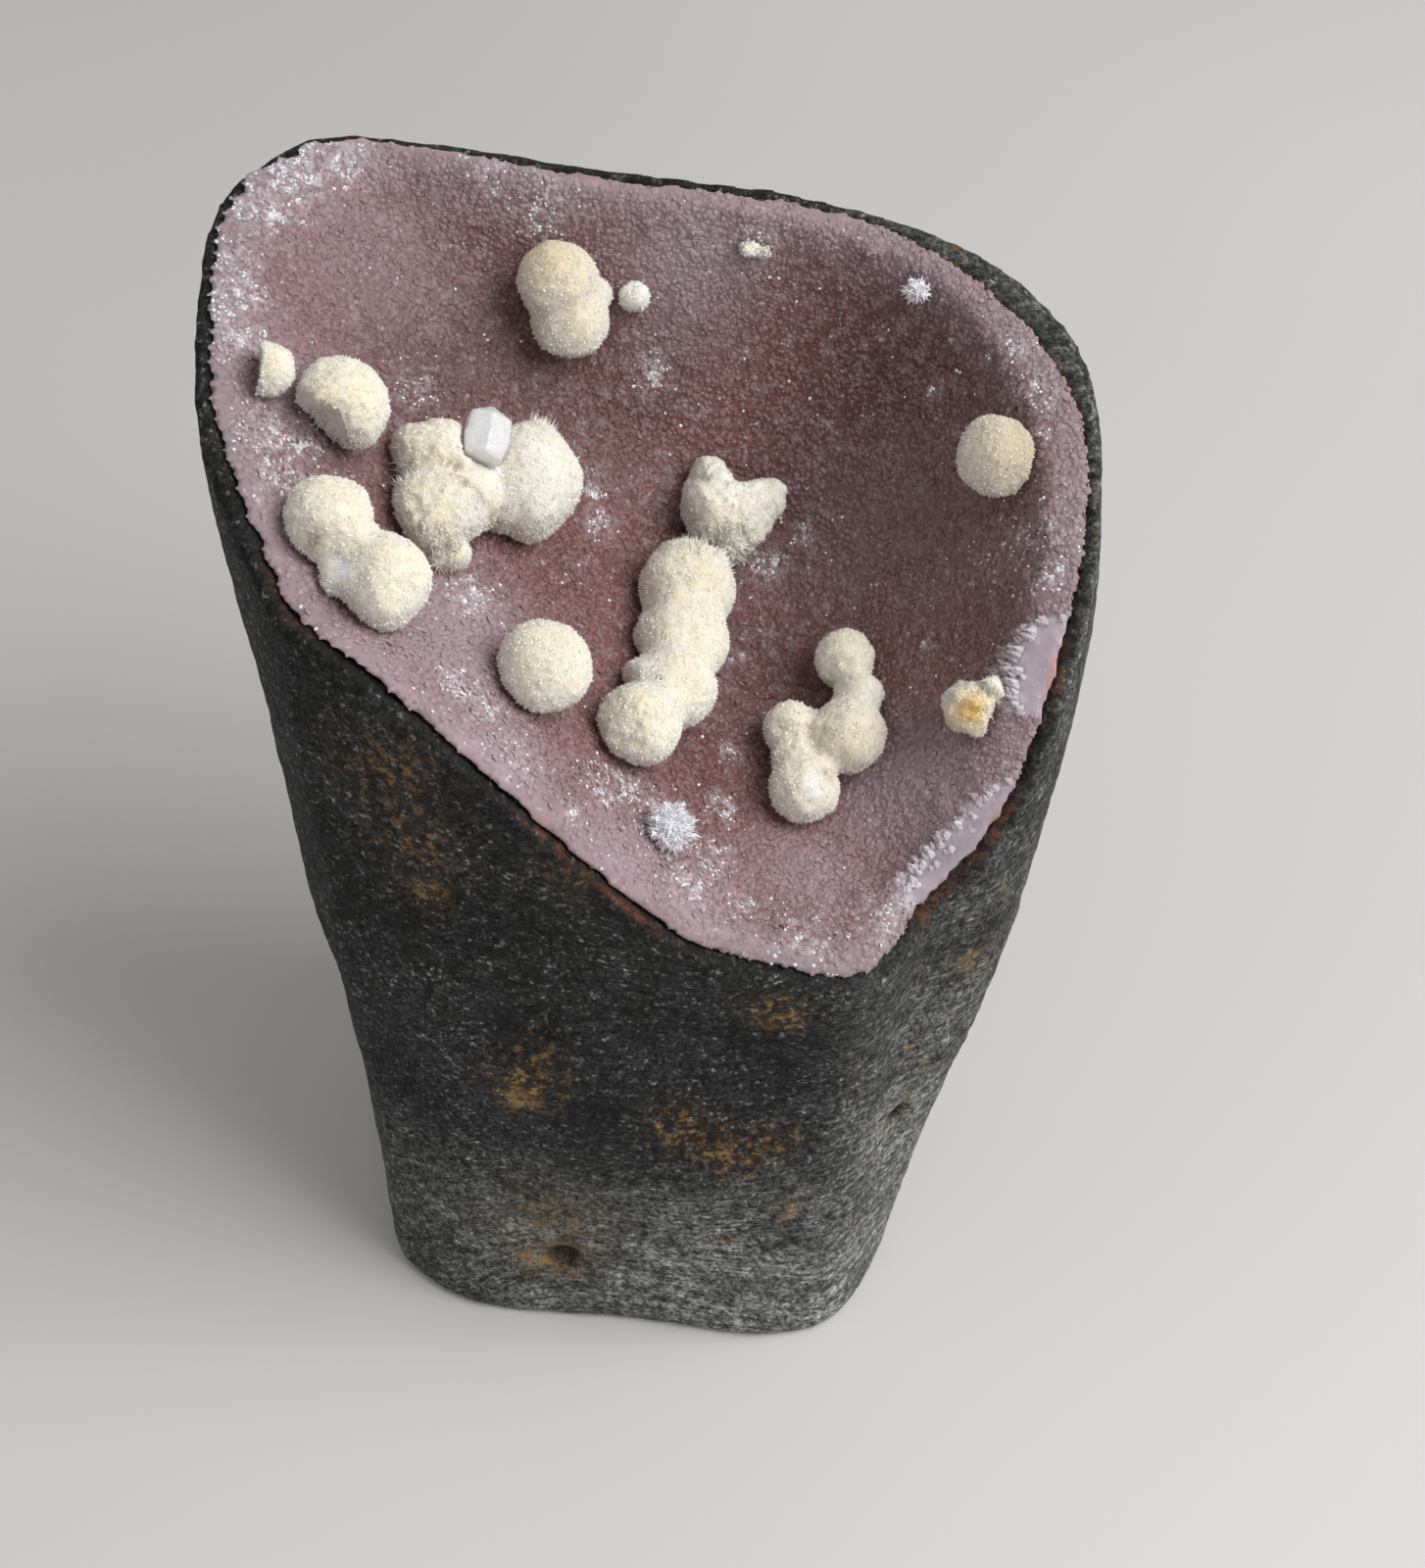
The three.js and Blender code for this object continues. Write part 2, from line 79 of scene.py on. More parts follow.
# Marks on the druse and the puffballs: u, v and reach in millimetres, and weight. EMBERS are the bright
# stretches of the druse's seam, CORES the yellow middles, and the list after CORES marks painted shade on
# the puffballs that sit in shade
FROST = [
    (-47.6, 33.5, 3, 1), (-44.8, 32.8, 2.4, 0.9), (-49.3, 29.5, 2.8, 0.9), (-52, 26.2, 2.4, 1),
    (-54.8, 19.2, 2, 0.6), (-54, 16, 2.2, 0.8), (-54.2, 11.5, 2.2, 0.8), (-51, 2, 2.6, 0.6),
    (-49.5, -2.5, 2.4, 0.5), (-47.8, 2, 1.4, 1), (-36.5, 11.5, 2.2, 0.45), (-30.6, 32.2, 2, 0.35),
    (-25.1, 30.2, 2.2, 0.6), (-31.2, -10.1, 2.4, 0.6), (-33, -21, 2, 0.8), (-30.8, -22.6, 1.6, 0.8),
    (-27.5, -27.3, 2.2, 0.35), (-18, -28, 2.2, 0.8), (-15.7, -26.9, 1.6, 0.9), (-22, -31.5, 1, 0.7),
    (-3.5, 28.1, 1.6, 0.5), (20, 16.2, 1.6, 0.4), (21.4, 11.2, 1.8, 0.5), (21, 7, 1.4, 0.3),
    (21.3, -3.3, 2.4, 0.4), (22.3, -7.5, 1.2, 1), (-6.3, -33.3, 2.4, 0.5), (-9.8, -35.9, 2.2, 0.6),
    (-3.6, -37.2, 2, 0.35), (-5, -27.6, 1.3, 0.7), (-17.6, 5.5, 1.5, 0.6), (-17, 2.3, 1.6, 0.6),
    (-12.2, 17.7, 1.6, 0.6), (14.7, 14.9, 0.8, 0.6), (5.2, 3.7, 0.9, 0.9), (0.9, 0.1, 1.3, 0.8),
    (2.4, 0.7, 1.2, 0.8), (-2.2, -10.1, 0.8, 0.7), (-3.6, -21.3, 1.1, 0.5), (14.7, -10.8, 0.5, 0.9),
    (-12, -30.8, 3, 0.8), (2.9, -40.8, 3, 0.4), (10.4, -38.5, 2.4, 0.4),
]
CLUMP = 0.9 * MM  # the size of the frost's clumps
STRAY_FLAKES = 0.003  # the weight of the frost away from its marks
# The next list marks the druse's darker quartz, and painted shade: on the hollow's right and back wall,
# which faces away from the light, and between the puffballs
DEEP = [
    (10.6, 15.8, 12, 0.9), (16.2, -0.7, 10, 0.2), (2.9, 8, 10, 0.8), (-7.2, 3.3, 6, 0.9),
    (-5.5, -22, 6, 0.65), (2, -13, 10, 0.7), (13, -11, 9, 0.25), (-14, 15, 9, 0.75), (-34, 6, 6, 0.5),
    (-20, -4, 5, 0.4), (-33, 16, 10, 0.95), (-22, 14, 8, 0.75),
]
PINK = [
    (-41, -20, 7, 0.8), (-30, -28, 7, 0.9), (-18, -36, 6, 1), (-9, -38, 5, 0.8), (-32, -15, 7, 0.7),
    (13, -26, 6, 0.7), (3.5, -33.5, 5, 0.5), (-50, -8, 6, 0.6), (-46, 26, 12, 0.3), (-53, 12, 8, 0.5),
]
LILAC = [
    (-42, 24, 12, 0.2), (14, -25, 6, 0.9), (0.8, -33.7, 5, 0.2), (7, -35, 6, 0.3), (-34, -15, 7, 0.8),
    (-10, 28, 7, 0.8), (-50, 5, 8, 0.4), (16, -4, 5, 0.15), (13, 4, 9, 0.2),
]
EMBERS = [
    (22.6, -16.3, 2.4, 1), (14.4, -35, 2.5, 0.8), (-24.5, -33.5, 3, 0.35), (-15, -38.5, 4, 0.45),
    (18.5, -29.5, 3, 0.8), (22.1, 10.1, 4, 0.5), (16.3, 23.3, 4, 0.4), (-48.3, -14.5, 4, 0.4),
    (-21, 33, 4, 0.3),
]
# Brown stains on the puffballs, and painted shade in the creases between them
STAINS = [
    (-33.6, 1, 1.1, 1), (-32.6, -0.6, 1, 1), (-31.2, -1.7, 1.1, 1), (-29.6, -2.2, 1.2, 1),
    (-46.9, -9.6, 0.9, 0.8), (-46.6, 3.4, 1.4, 0.7), (-44.6, 1, 1.4, 0.7), (4.4, -24.4, 0.7, 0.9),
    (7.9, -23.6, 0.9, 0.7), (-11, -1.2, 0.7, 0.5), (18.1, -14.2, 1, 0.6),
]
CORES = [(15.7, -19.9, 1.5, 1), (-26, 25.5, 3.5, 0.25)]
# Painted shade: puffballs that sit in the shade of the hollow's wall are painted darker and warmer
DUN = [(20.5, 5, 6, 0.95), (-22, 24, 6, 0.4), (8, -20, 7, 0.2), (-9.5, -4, 4, 0.1)]
POWDER = [
    (-15.2, 24, 3, 1), (-44.6, -12.2, 1.5, 1), (3, -25.8, 1.5, 0.9), (9.4, -16.2, 2, 0.6),
    (-14.4, -14.9, 1.5, 0.8), (-3.6, 6.5, 5, 0.5), (-31.5, -3.6, 2.2, 0.5), (-26.5, 1, 7, 0.45),
    (18.4, -16, 1.5, 0.5),
]
SHAGGY = [
    (-24.4, 8.4, 1.6, 1.4), (-3, 5, 6, 0.4), (-3.4, 1, 2.6, 1.3), (-8, -1.2, 2.4, 1),
    (17.5, -18.5, 4, 0.7), (-34.5, -6.5, 2.2, 1), (-51.5, -8.5, 2.4, 0.8), (-5, -1.6, 2, 1),
    (-38.5, 1, 2.6, 0.9), (12.6, -18, 2, 0.8), (6.8, -11, 2.2, 0.6), (-20.8, -22, 2.4, 0.5),
]

# Where a puffball is torn: u, v and reach, and how much. Where it swells (LOBES) or sinks
# (NOTCHES): the same, and how far, in millimetres
TORN = [
    (-3.7, 5, 6, 0.85), (17.9, -18.5, 4, 0.9), (-36, -4, 4.5, 0.6), (-37, 3, 3.5, 0.5),
    (-46, 4, 4, 0.4), (9, -12, 4, 0.4), (2.7, -19.5, 3, 0.5), (-16.2, -22.2, 4, 0.4),
    (-3.7, 28, 3, 0.6),
]
LOBES = [
    (-5.8, 8.2, 1.6, 0.9), (-0.8, 6.6, 1.2, 0.9), (2.2, 7.8, 1.1, 0.6), (1, 3.6, 1.3, 0.9),
    (-3.3, 0.2, 1.3, 0.7), (-8, 4.4, 1.1, 0.8), (-6.2, 1.6, 1.3, 0.7), (-0.2, 1.4, 1.3, 0.8),
    (8.5, -15.4, 2.2, 0.5), (-47.2, 4.2, 1.3, 0.5), (-40.5, 1.5, 1.4, 0.6), (-35.5, -6.6, 2, 0.8),
    (-32.6, -6.4, 1.8, 0.8), (-30.2, -2.6, 3, 1.8), (-25.3, -2.6, 2.6, 0.8), (-6.6, 5.6, 1.8, 1.1),
    (0.9, 5.4, 1.8, 1.1), (-44.9, -12.7, 1.3, 0.8), (-40, -18.8, 3, 1.3), (-13, -9.7, 2.4, 0.5),
    (-28.6, -2.8, 1.8, 1.2), (-38.6, 4.4, 1.6, 0.8), (-14.6, -14.9, 1.3, 0.8),
]
NOTCHES = [(-2.4, 8.4, 1.3, 1.4), (-8.4, 8.6, 1.6, 0.8), (-46, 0.6, 2.3, 1.3), (6, -23, 0.8, 0.5)]

# How far the creases of a puffball are filled, against the others
CREASES = {"star": 0.3, "broken_right": 0.3, "cluster_front": 0.35, "cluster_middle": 0.6, "chain": 2.3}

# Width of the cut band on the hollow's right, and of the slope where the crystals thin out, at
# stations of v
BAND_STATIONS = (-40, -37.5, -36, -33, -30, -27, -25, -20.5, -19.5, -15, -12, -11, 28)
BAND_WIDTHS = (0.4, 0.8, 2.4, 3.4, 3.2, 2.4, 0.4, 0.4, 3, 4.4, 3.4, 0.4, 0.4)
SLOPE_STATIONS = (-42, -30, -15, 0, 15, 30)
SLOPE_WIDTHS = (5, 5.5, 5, 3.5, 2.5, 2.5)
TOOTH_PITCH = 1.9  # from tooth to tooth along the band's inner edge
FINE_PITCH = 0.37  # the pitch of the smaller teeth between them, against theirs
RIGHT_WALL = (6, 9)  # the u from which the hollow's right wall has the band

# Marks on the basalt: a place and a reach in millimetres, and weight
RUST = [
    ((-13.8, -28.9, 41.5), 3.2, 0.9), ((-12.5, -29, 46), 2.4, 0.6), ((1.4, -31.1, 36.6), 2.6, 0.8),
    ((4, -31.4, 34.5), 2.6, 0.9), ((8, -31.6, 32.6), 2.6, 0.9), ((12, -31.1, 34.6), 1.8, 0.8),
    ((11.5, -31.3, 54.5), 2.4, 0.9), ((-11.1, -29.5, 11), 2.4, 1), ((6.4, -32.1, 18.4), 0.8, 0.9),
    ((-23.8, -25.8, 81), 5, 0.5), ((-22.6, -26.3, 73), 4, 0.5), ((-8, -29, 74), 3, 0.4),
]
OCHRE = [
    ((-21.3, -26.8, 66.6), 1.6, 1), ((-13.9, -29, 10.4), 2.2, 1), ((-14.4, -28.8, 38.5), 1.6, 0.8),
    ((13.1, -32.1, 23.7), 1.6, 0.5), ((12, -31.2, 53), 1, 0.7), ((31, -20, 50), 2, 0.4),
    ((24.8, -23.8, 31), 1.8, 0.4), ((-12, -29.5, 17), 6, 0.3),
]
# The holes below are sunk into the stone and also painted dark: painted shade in them, as along the crack
HOLES = [
    ((-11.1, -29.6, 11), 1.7, 1), ((24.6, -23.8, 29.3), 1.1, 1), ((-15.4, -28, 50.5), 3, 0.9),
    ((-19.6, -27.3, 66.4), 1.5, 0.5), ((6.4, -32.1, 18.4), 0.6, 0.5), ((4, -31.4, 34.5), 2, 0.4),
    ((8, -31.6, 32.6), 1.8, 0.4), ((-17, -28, 63), 1.2, 0.5),
]
CRACK_STEPS = 40  # the marks along the crack
LEAST_NEARNESS = 1e-9  # its logarithm is taken
CRACK = ((-20.2, -27.1, 68.2), (-17.6, -27.8, 66.8), (-16.1, -28.2, 64.6), (-14, -28.5, 61.4))

# The stone's zones, each from the height or the x where it starts to where it is full
FOOT_HEIGHTS = (36, 8)
# The pale zone is partly painted light: the foot fades darker towards its shaded left, and the right side
# is painted paler where the key light falls
FOOT_SIDES = (-24, -8)
PALE_SIDES = (12, 27)
PALE_HEIGHTS = (55, 25)
BROWN_HEIGHTS = (40, 60)
BROWN_SIDES = (22, 8)
VEIN_SIDES = (14, 24)
# How near the druse's edge its rusty line and the painted shadow just under the crust's edge start, and are
# full
SEAM_REACH = (0.8, 0.3)
LIP_REACH = (1.5, 0.5)

# The stage, in metres
FLOOR_RADIUS = 3
LIGHT_AIM = (0, 0, 0.06)
KEY_PLACE = (0.44, -0.16, 0.56)
FILL_PLACE = (-0.5, -0.6, 0.5)
CAMERA_PLACE = (0.00509, -0.18874, 0.24326)

# The grinding marks climb by this share of the way left of this x, in millimetres
CLIMB_START = -12
CLIMB = 0.7


def plan_of(points):
    """Where points in metres lie over the hollow's mouth: u and v, in millimetres."""
    arms = (points - np.array(HOLLOW_CENTRE)) / MM
    return np.stack([arms @ np.array(ACROSS), arms @ np.array(UPSLOPE)], axis=1)


def nearness(points, marks):
    """How near each point is to the nearest mark, from 0 to the mark's weight. A mark is its
    place, as numbers of their own or together, then its reach and weight."""
    near = np.zeros(len(points))
    for *place, reach, weight in marks:
        away = np.linalg.norm(points - np.ravel(place), axis=1) / reach
        near = np.maximum(near, weight * np.exp(-(away**2)))
    return near


def ramp(values, low, high):
    """Smoothly from 0 at low to 1 at high, which may lie below low."""
    share = np.clip((values - low) / (high - low), 0, 1)
    return share * share * (3 - 2 * share)


def druse_edge():
    """The druse's outer edge: a place in metres for each sector round the mouth."""
    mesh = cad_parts["quartz_druse"].data
    corners = points_of(mesh)
    ends = corners[np.array([edge.vertices for edge in mesh.edges])]
    shares = np.linspace(0, 1, EDGE_SAMPLES)
    places = np.concatenate([ends[:, 0] * (1 - share) + ends[:, 1] * share for share in shares])
    plan = plan_of(places)
    turn = np.arctan2(plan[:, 1], plan[:, 0])
    sector = ((turn / math.tau + 0.5) * SECTORS).astype(int) % SECTORS
    outward = np.argsort(np.hypot(plan[:, 0], plan[:, 1]))
    edge = np.zeros((SECTORS, 3))
    edge[sector[outward]] = places[outward]
    return edge


def from_edge(plan):
    """How far places lie from the druse's outer edge, and where along it, in millimetres."""
    edge = plan_of(druse_edge())
    along = np.cumsum(np.linalg.norm(np.diff(edge, axis=0, prepend=edge[-1:]), axis=1))
    nearest = KDTree(SECTORS)
    for sector, (u, v) in enumerate(edge):
        nearest.insert((u, v, 0), sector)
    nearest.balance()
    found = [nearest.find((u, v, 0)) for u, v in plan]
    return np.array([distance for _, _, distance in found]), along[[sector for _, sector, _ in found]]


# ---- node trees


def fill(tree, node, inputs):
    """Gives a node's sockets, by name or number, their values and links. A node given as a value
    lends its first output."""
    for key, value in inputs.items():
        if isinstance(key, int):
            socket = node.inputs[key]
        else:
            socket = next(s for s in node.inputs if s.name == key and s.enabled)
        if isinstance(value, bpy.types.Node):
            value = next(s for s in value.outputs if s.enabled)
        if isinstance(value, bpy.types.NodeSocket):
            tree.links.new(value, socket)
        else:
            socket.default_value = value


def put(tree, kind, inputs=None, **settings):
    """Adds a node with its settings, values and links."""
    node = tree.nodes.new(kind)
    for name, value in settings.items():
        setattr(node, name, value)
    fill(tree, node, inputs or {})
    return node


def maths(tree, operation, first, second=0):
    """Works out a number from two."""
    return put(tree, "ShaderNodeMath", {0: first, 1: second}, operation=operation)


def sum_of(tree, *values):
    """Adds numbers in a node tree."""
    return reduce(partial(maths, tree, "ADD"), values)


def product(tree, *values):
    """Multiplies numbers in a node tree."""
    return reduce(partial(maths, tree, "MULTIPLY"), values)


def arrow(tree, operation, inputs):
    """Works out a vector from others."""
    return put(tree, "ShaderNodeVectorMath", inputs, operation=operation)


def spread(tree, value, low, high, to_low=0, to_high=1):
    """Maps low to high onto another range, smoothly and without overshoot."""
    sockets = {"Value": value, "From Min": low, "From Max": high, "To Min": to_low, "To Max": to_high}
    return put(tree, "ShaderNodeMapRange", sockets, interpolation_type="SMOOTHSTEP")


def blend(tree, factor, first, second, mode="MIX"):
    """Mixes two colours."""
    sockets = {"Factor": factor, "A": first, "B": second}
    return put(tree, "ShaderNodeMix", sockets, data_type="RGBA", blend_type=mode)


def noise(tree, place, size, detail=4, roughness=0.6):
    """Noise whose lumps measure about size."""
    sockets = {"Vector": place, "Scale": 1 / size, "Detail": detail, "Roughness": roughness}
    return put(tree, "ShaderNodeTexNoise", sockets)


def bumps(tree, height, strength, depth):
    """A surface's normal, roughened by a height."""
    return put(tree, "ShaderNodeBump", {"Height": height, "Strength": strength, "Distance": depth})


def attribute(tree, name, *shares):
    """A number that the piece's mesh carries at each point, times any others."""
    carried = put(tree, "ShaderNodeAttribute", attribute_name=name).outputs["Fac"]
    return product(tree, carried, *shares)


def new_material(name):
    """An empty material with a Principled surface: the material, its tree and the surface node."""
    material = bpy.data.materials.new(name)
    material.use_nodes = True
    tree = material.node_tree
    return material, tree, tree.nodes["Principled BSDF"]


def millimetres(tree):
    """The piece's own coordinates in millimetres."""
    place = put(tree, "ShaderNodeTexCoord").outputs["Object"]
    return put(tree, "ShaderNodeMapping", {"Vector": place, "Scale": (1 / MM,) * 3})


def group(name, inputs, outputs):
    """A shader group that puts numbers out: the tree and what comes in."""
    tree = bpy.data.node_groups.new(name, "ShaderNodeTree")
    for label, kind in inputs.items():
        tree.interface.new_socket(label, in_out="INPUT", socket_type=f"NodeSocket{kind}")
    for label in outputs:
        tree.interface.new_socket(label, in_out="OUTPUT", socket_type="NodeSocketFloat")
    return tree, tree.nodes.new("NodeGroupInput").outputs


def sugar_group():
    """Small crystal grains packed side by side: a shade for each, and how high its face stands."""
    tree, given = group("sugar", {"Place": "Vector", "Grain": "Float"}, ("Shade", "Height"))
    scale = maths(tree, "DIVIDE", 1, given["Grain"])
    cells = put(tree, "ShaderNodeTexVoronoi", {"Vector": given["Place"], "Scale": scale}).outputs
    shade = put(tree, "ShaderNodeSeparateColor", {"Color": cells["Color"]})
    height = maths(tree, "SUBTRACT", 1, cells["Distance"])
    put(tree, "NodeGroupOutput", {"Shade": shade.outputs["Red"], "Height": height})


def patches_group():
    """Ragged patches: a mask that is 1 in them and 0 between them."""
    tree, given = group("patches", {"Place": "Vector", "Size": "Float", "Share": "Float"}, ("Mask",))
    scale = maths(tree, "DIVIDE", 1, given["Size"])
    lumps = {"Vector": given["Place"], "Scale": scale, "Detail": 5, "Roughness": 0.65}
    field = put(tree, "ShaderNodeTexNoise", lumps)
    level = maths(tree, "SUBTRACT", 0.8, given["Share"])
    top = maths(tree, "ADD", level, 0.1)
    put(tree, "NodeGroupOutput", {"Mask": spread(tree, field, level, top)})


def use(tree, shared, inputs):
    """Places a shared group in a material's tree."""
    return put(tree, "ShaderNodeGroup", inputs, node_tree=bpy.data.node_groups[shared])


# ---- meshes


def bake(piece):
    """Gives a piece the mesh that its modifiers make."""
    depsgraph = bpy.context.evaluated_depsgraph_get()
    made = bpy.data.meshes.new_from_object(
        piece.evaluated_get(depsgraph), preserve_all_data_layers=True, depsgraph=depsgraph
    )
    spent = piece.data
    piece.modifiers.clear()
    piece.data = made
    bpy.data.meshes.remove(spent)


def placed(name, data):
    """A new object in the scene."""
    made = bpy.data.objects.new(name, data)
    bpy.context.scene.collection.objects.link(made)
    return made


def add_remesh(piece, voxel):
    """Turns a piece's faces into even small ones, once it is baked."""
    remesh = piece.modifiers.new("remesh", "REMESH")
    remesh.mode = "VOXEL"
    remesh.voxel_size = voxel


def add_rounding(piece, times):
    """Rounds a piece's facets off, once it is baked."""
    rounding = piece.modifiers.new("rounding", "SMOOTH")
    rounding.factor = 0.5
    rounding.iterations = times


def copied(node, name, voxel, smooth):
    """A new piece: a frame node's form with even small faces, its facets rounded off."""
    piece = placed(name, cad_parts[node].data.copy())
    form = bmesh.new()
    form.from_mesh(piece.data)
    bmesh.ops.remove_doubles(form, verts=form.verts, dist=MERGE)
    form.to_mesh(piece.data)
    form.free()
    add_remesh(piece, voxel)
    add_rounding(piece, smooth)
    bake(piece)
    return piece


def geometry_tree(name):
    """An empty geometry tree, and the geometry that comes in."""
    tree = bpy.data.node_groups.new(name, "GeometryNodeTree")
    for way in ("INPUT", "OUTPUT"):
        tree.interface.new_socket("Geometry", in_out=way, socket_type="NodeSocketGeometry")
    return tree, tree.nodes.new("NodeGroupInput").outputs[0]


def run_tree(piece, tree, made):
    """Runs a geometry tree on a piece and keeps what it made."""
    put(tree, "NodeGroupOutput", {0: made})
    piece.modifiers.new(tree.name, "NODES").node_group = tree
    bake(piece)


def named(tree, name):
    """A number that a mesh carries at each point, in a geometry tree."""
    return put(tree, "GeometryNodeInputNamedAttribute", {"Name": name}, data_type="FLOAT")


def relief(piece, layers=(), level=0, where=None):
    """Moves a surface by level, a height or the name of one that the mesh carries, and by layers of
    noise, each a lump size and a height in millimetres. where names the mesh's own mask for them."""
    tree, geometry = geometry_tree("relief")
    place = put(tree, "GeometryNodeInputPosition")
    height = 0
    for size, swing in layers:
        bump = maths(tree, "SUBTRACT", noise(tree, place, size * MM, detail=2, roughness=0.5), 0.5)
        height = sum_of(tree, product(tree, bump, 2 * (swing * MM)), height)
    if where:
        height = product(tree, height, named(tree, where))
    height = sum_of(tree, height, named(tree, level) if isinstance(level, str) else level)
    offset = arrow(tree, "SCALE", {0: put(tree, "GeometryNodeInputNormal"), "Scale": height})
    moved = put(tree, "GeometryNodeSetPosition", {"Geometry": geometry, "Offset": offset})
    run_tree(piece, tree, moved)


def close_creases(piece, reach, voxel):
    """Fills the creases of a surface that are narrower than twice the reach."""
    relief(piece, level=reach)
    add_remesh(piece, voxel)
    bake(piece)
    relief(piece, level=-reach)
    add_rounding(piece, 4)
    bake(piece)


def point_shape(tree, sides):
    """A slim pyramid one unit high and wide, its foot open, marked from 0 at the foot to 1 at the tip."""
    sockets = {"Vertices": sides, "Radius Top": 0, "Radius Bottom": 1, "Depth": 1}
    cone = put(tree, "GeometryNodeMeshCone", sockets, fill_type="NONE").outputs["Mesh"]
    place = put(tree, "GeometryNodeInputPosition")
    along = put(tree, "ShaderNodeSeparateXYZ", {"Vector": place}).outputs["Z"]
    stored = {"Geometry": cone, "Name": "tip", "Value": along}
    return put(tree, "GeometryNodeStoreNamedAttribute", stored, data_type="FLOAT", domain="POINT")


def span(size, low, high):
    """A range, in shares of a size."""
    return low * size, high * size


def drawn(tree, low, high, seed):
    """A number drawn at random for each point."""
    return put(tree, "FunctionNodeRandomValue", {"Min": low, "Max": high, "Seed": seed})


def sow(piece, length, radius, per_mm2, lean, seed, sides=5, where=None, longer=None, pull=0, keep=False):
    """Sets slim pyramids on a piece's faces. length and radius are ranges, and lean is how far they
    stray from upright. where names the mesh's own mask, and longer what their length is times.
    pull leans them towards the hollow's middle. With keep the piece stays under them."""
    tree, geometry = geometry_tree("sow")
    density = per_mm2 / MM**2
    if where:
        density = product(tree, named(tree, where), density)
    scatter = {"Mesh": geometry, "Density": density, "Seed": seed}
    points = put(tree, "GeometryNodeDistributePointsOnFaces", scatter, distribute_method="RANDOM")
    stray = {"Min": (-lean,) * 3, "Max": (lean,) * 3, "Seed": seed + 1}
    wander = put(tree, "FunctionNodeRandomValue", stray, data_type="FLOAT_VECTOR")
    heading = arrow(tree, "ADD", {0: points.outputs["Normal"], 1: wander})
    if pull:
        arm = {0: tuple(HOLLOW_CENTRE), 1: put(tree, "GeometryNodeInputPosition")}
        inward = arrow(tree, "NORMALIZE", {0: arrow(tree, "SUBTRACT", arm)})
        heading = arrow(tree, "ADD", {0: heading, 1: arrow(tree, "SCALE", {0: inward, "Scale": pull})})
    turned = put(tree, "FunctionNodeAlignRotationToVector", {"Vector": heading}, axis="Z")
    turn = {"Axis": (0, 0, 1), "Angle": drawn(tree, 0, math.tau, seed + 2)}
    aimed = {"Rotation": turned, "Rotate By": put(tree, "FunctionNodeAxisAngleToRotation", turn)}
    aim = put(tree, "FunctionNodeRotateRotation", aimed, rotation_space="LOCAL")
    tall = drawn(tree, *length, seed + 3)
    if longer:
        tall = product(tree, tall, named(tree, longer))
    wide = drawn(tree, *radius, seed + 4)
    size = put(tree, "ShaderNodeCombineXYZ", {"X": wide, "Y": wide, "Z": tall})
    planted = {"Points": points, "Instance": point_shape(tree, sides), "Rotation": aim, "Scale": size}
    instances = put(tree, "GeometryNodeInstanceOnPoints", planted)
    grown = put(tree, "GeometryNodeRealizeInstances", {"Geometry": instances})
    if keep:
        both = put(tree, "GeometryNodeJoinGeometry", {0: grown})
        tree.links.new(geometry, both.inputs[0])
        grown = both
    run_tree(piece, tree, grown)


def points_of(mesh):
    """A mesh's vertices as an array, in metres."""
    flat = np.empty(len(mesh.vertices) * 3)
    mesh.vertices.foreach_get("co", flat)
    return flat.reshape(-1, 3)


def facing_of(mesh):
    """How squarely each vertex faces out of the hollow, from -1 to 1."""
    return np.array([normal.vector.dot(HOLLOW_AXIS) for normal in mesh.vertex_normals])


def mark(mesh, **values):
    """Keeps numbers at each vertex of a mesh, under their names."""
    for name, numbers in values.items():
        kept = mesh.attributes.new(name, "FLOAT", "POINT").data
        kept.foreach_set("value", np.asarray(numbers, np.float32))


def twin(piece, name):
    """A second piece with a copy of a piece's mesh."""
    return placed(name, piece.data.copy())


def finish(piece, node, material, smooth=True):
    """Gives a piece its material and slot, lets it ride, and puts it in a frame node's place."""
    mesh = piece.data
    mesh.materials.clear()
    mesh.materials.append(material)
    mesh.polygons.foreach_set("material_index", np.zeros(len(mesh.polygons), np.int32))
    mesh.polygons.foreach_set("use_smooth", np.full(len(mesh.polygons), smooth))
    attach(piece, BODY)
    if node:
        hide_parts(node)


# ---- finishes


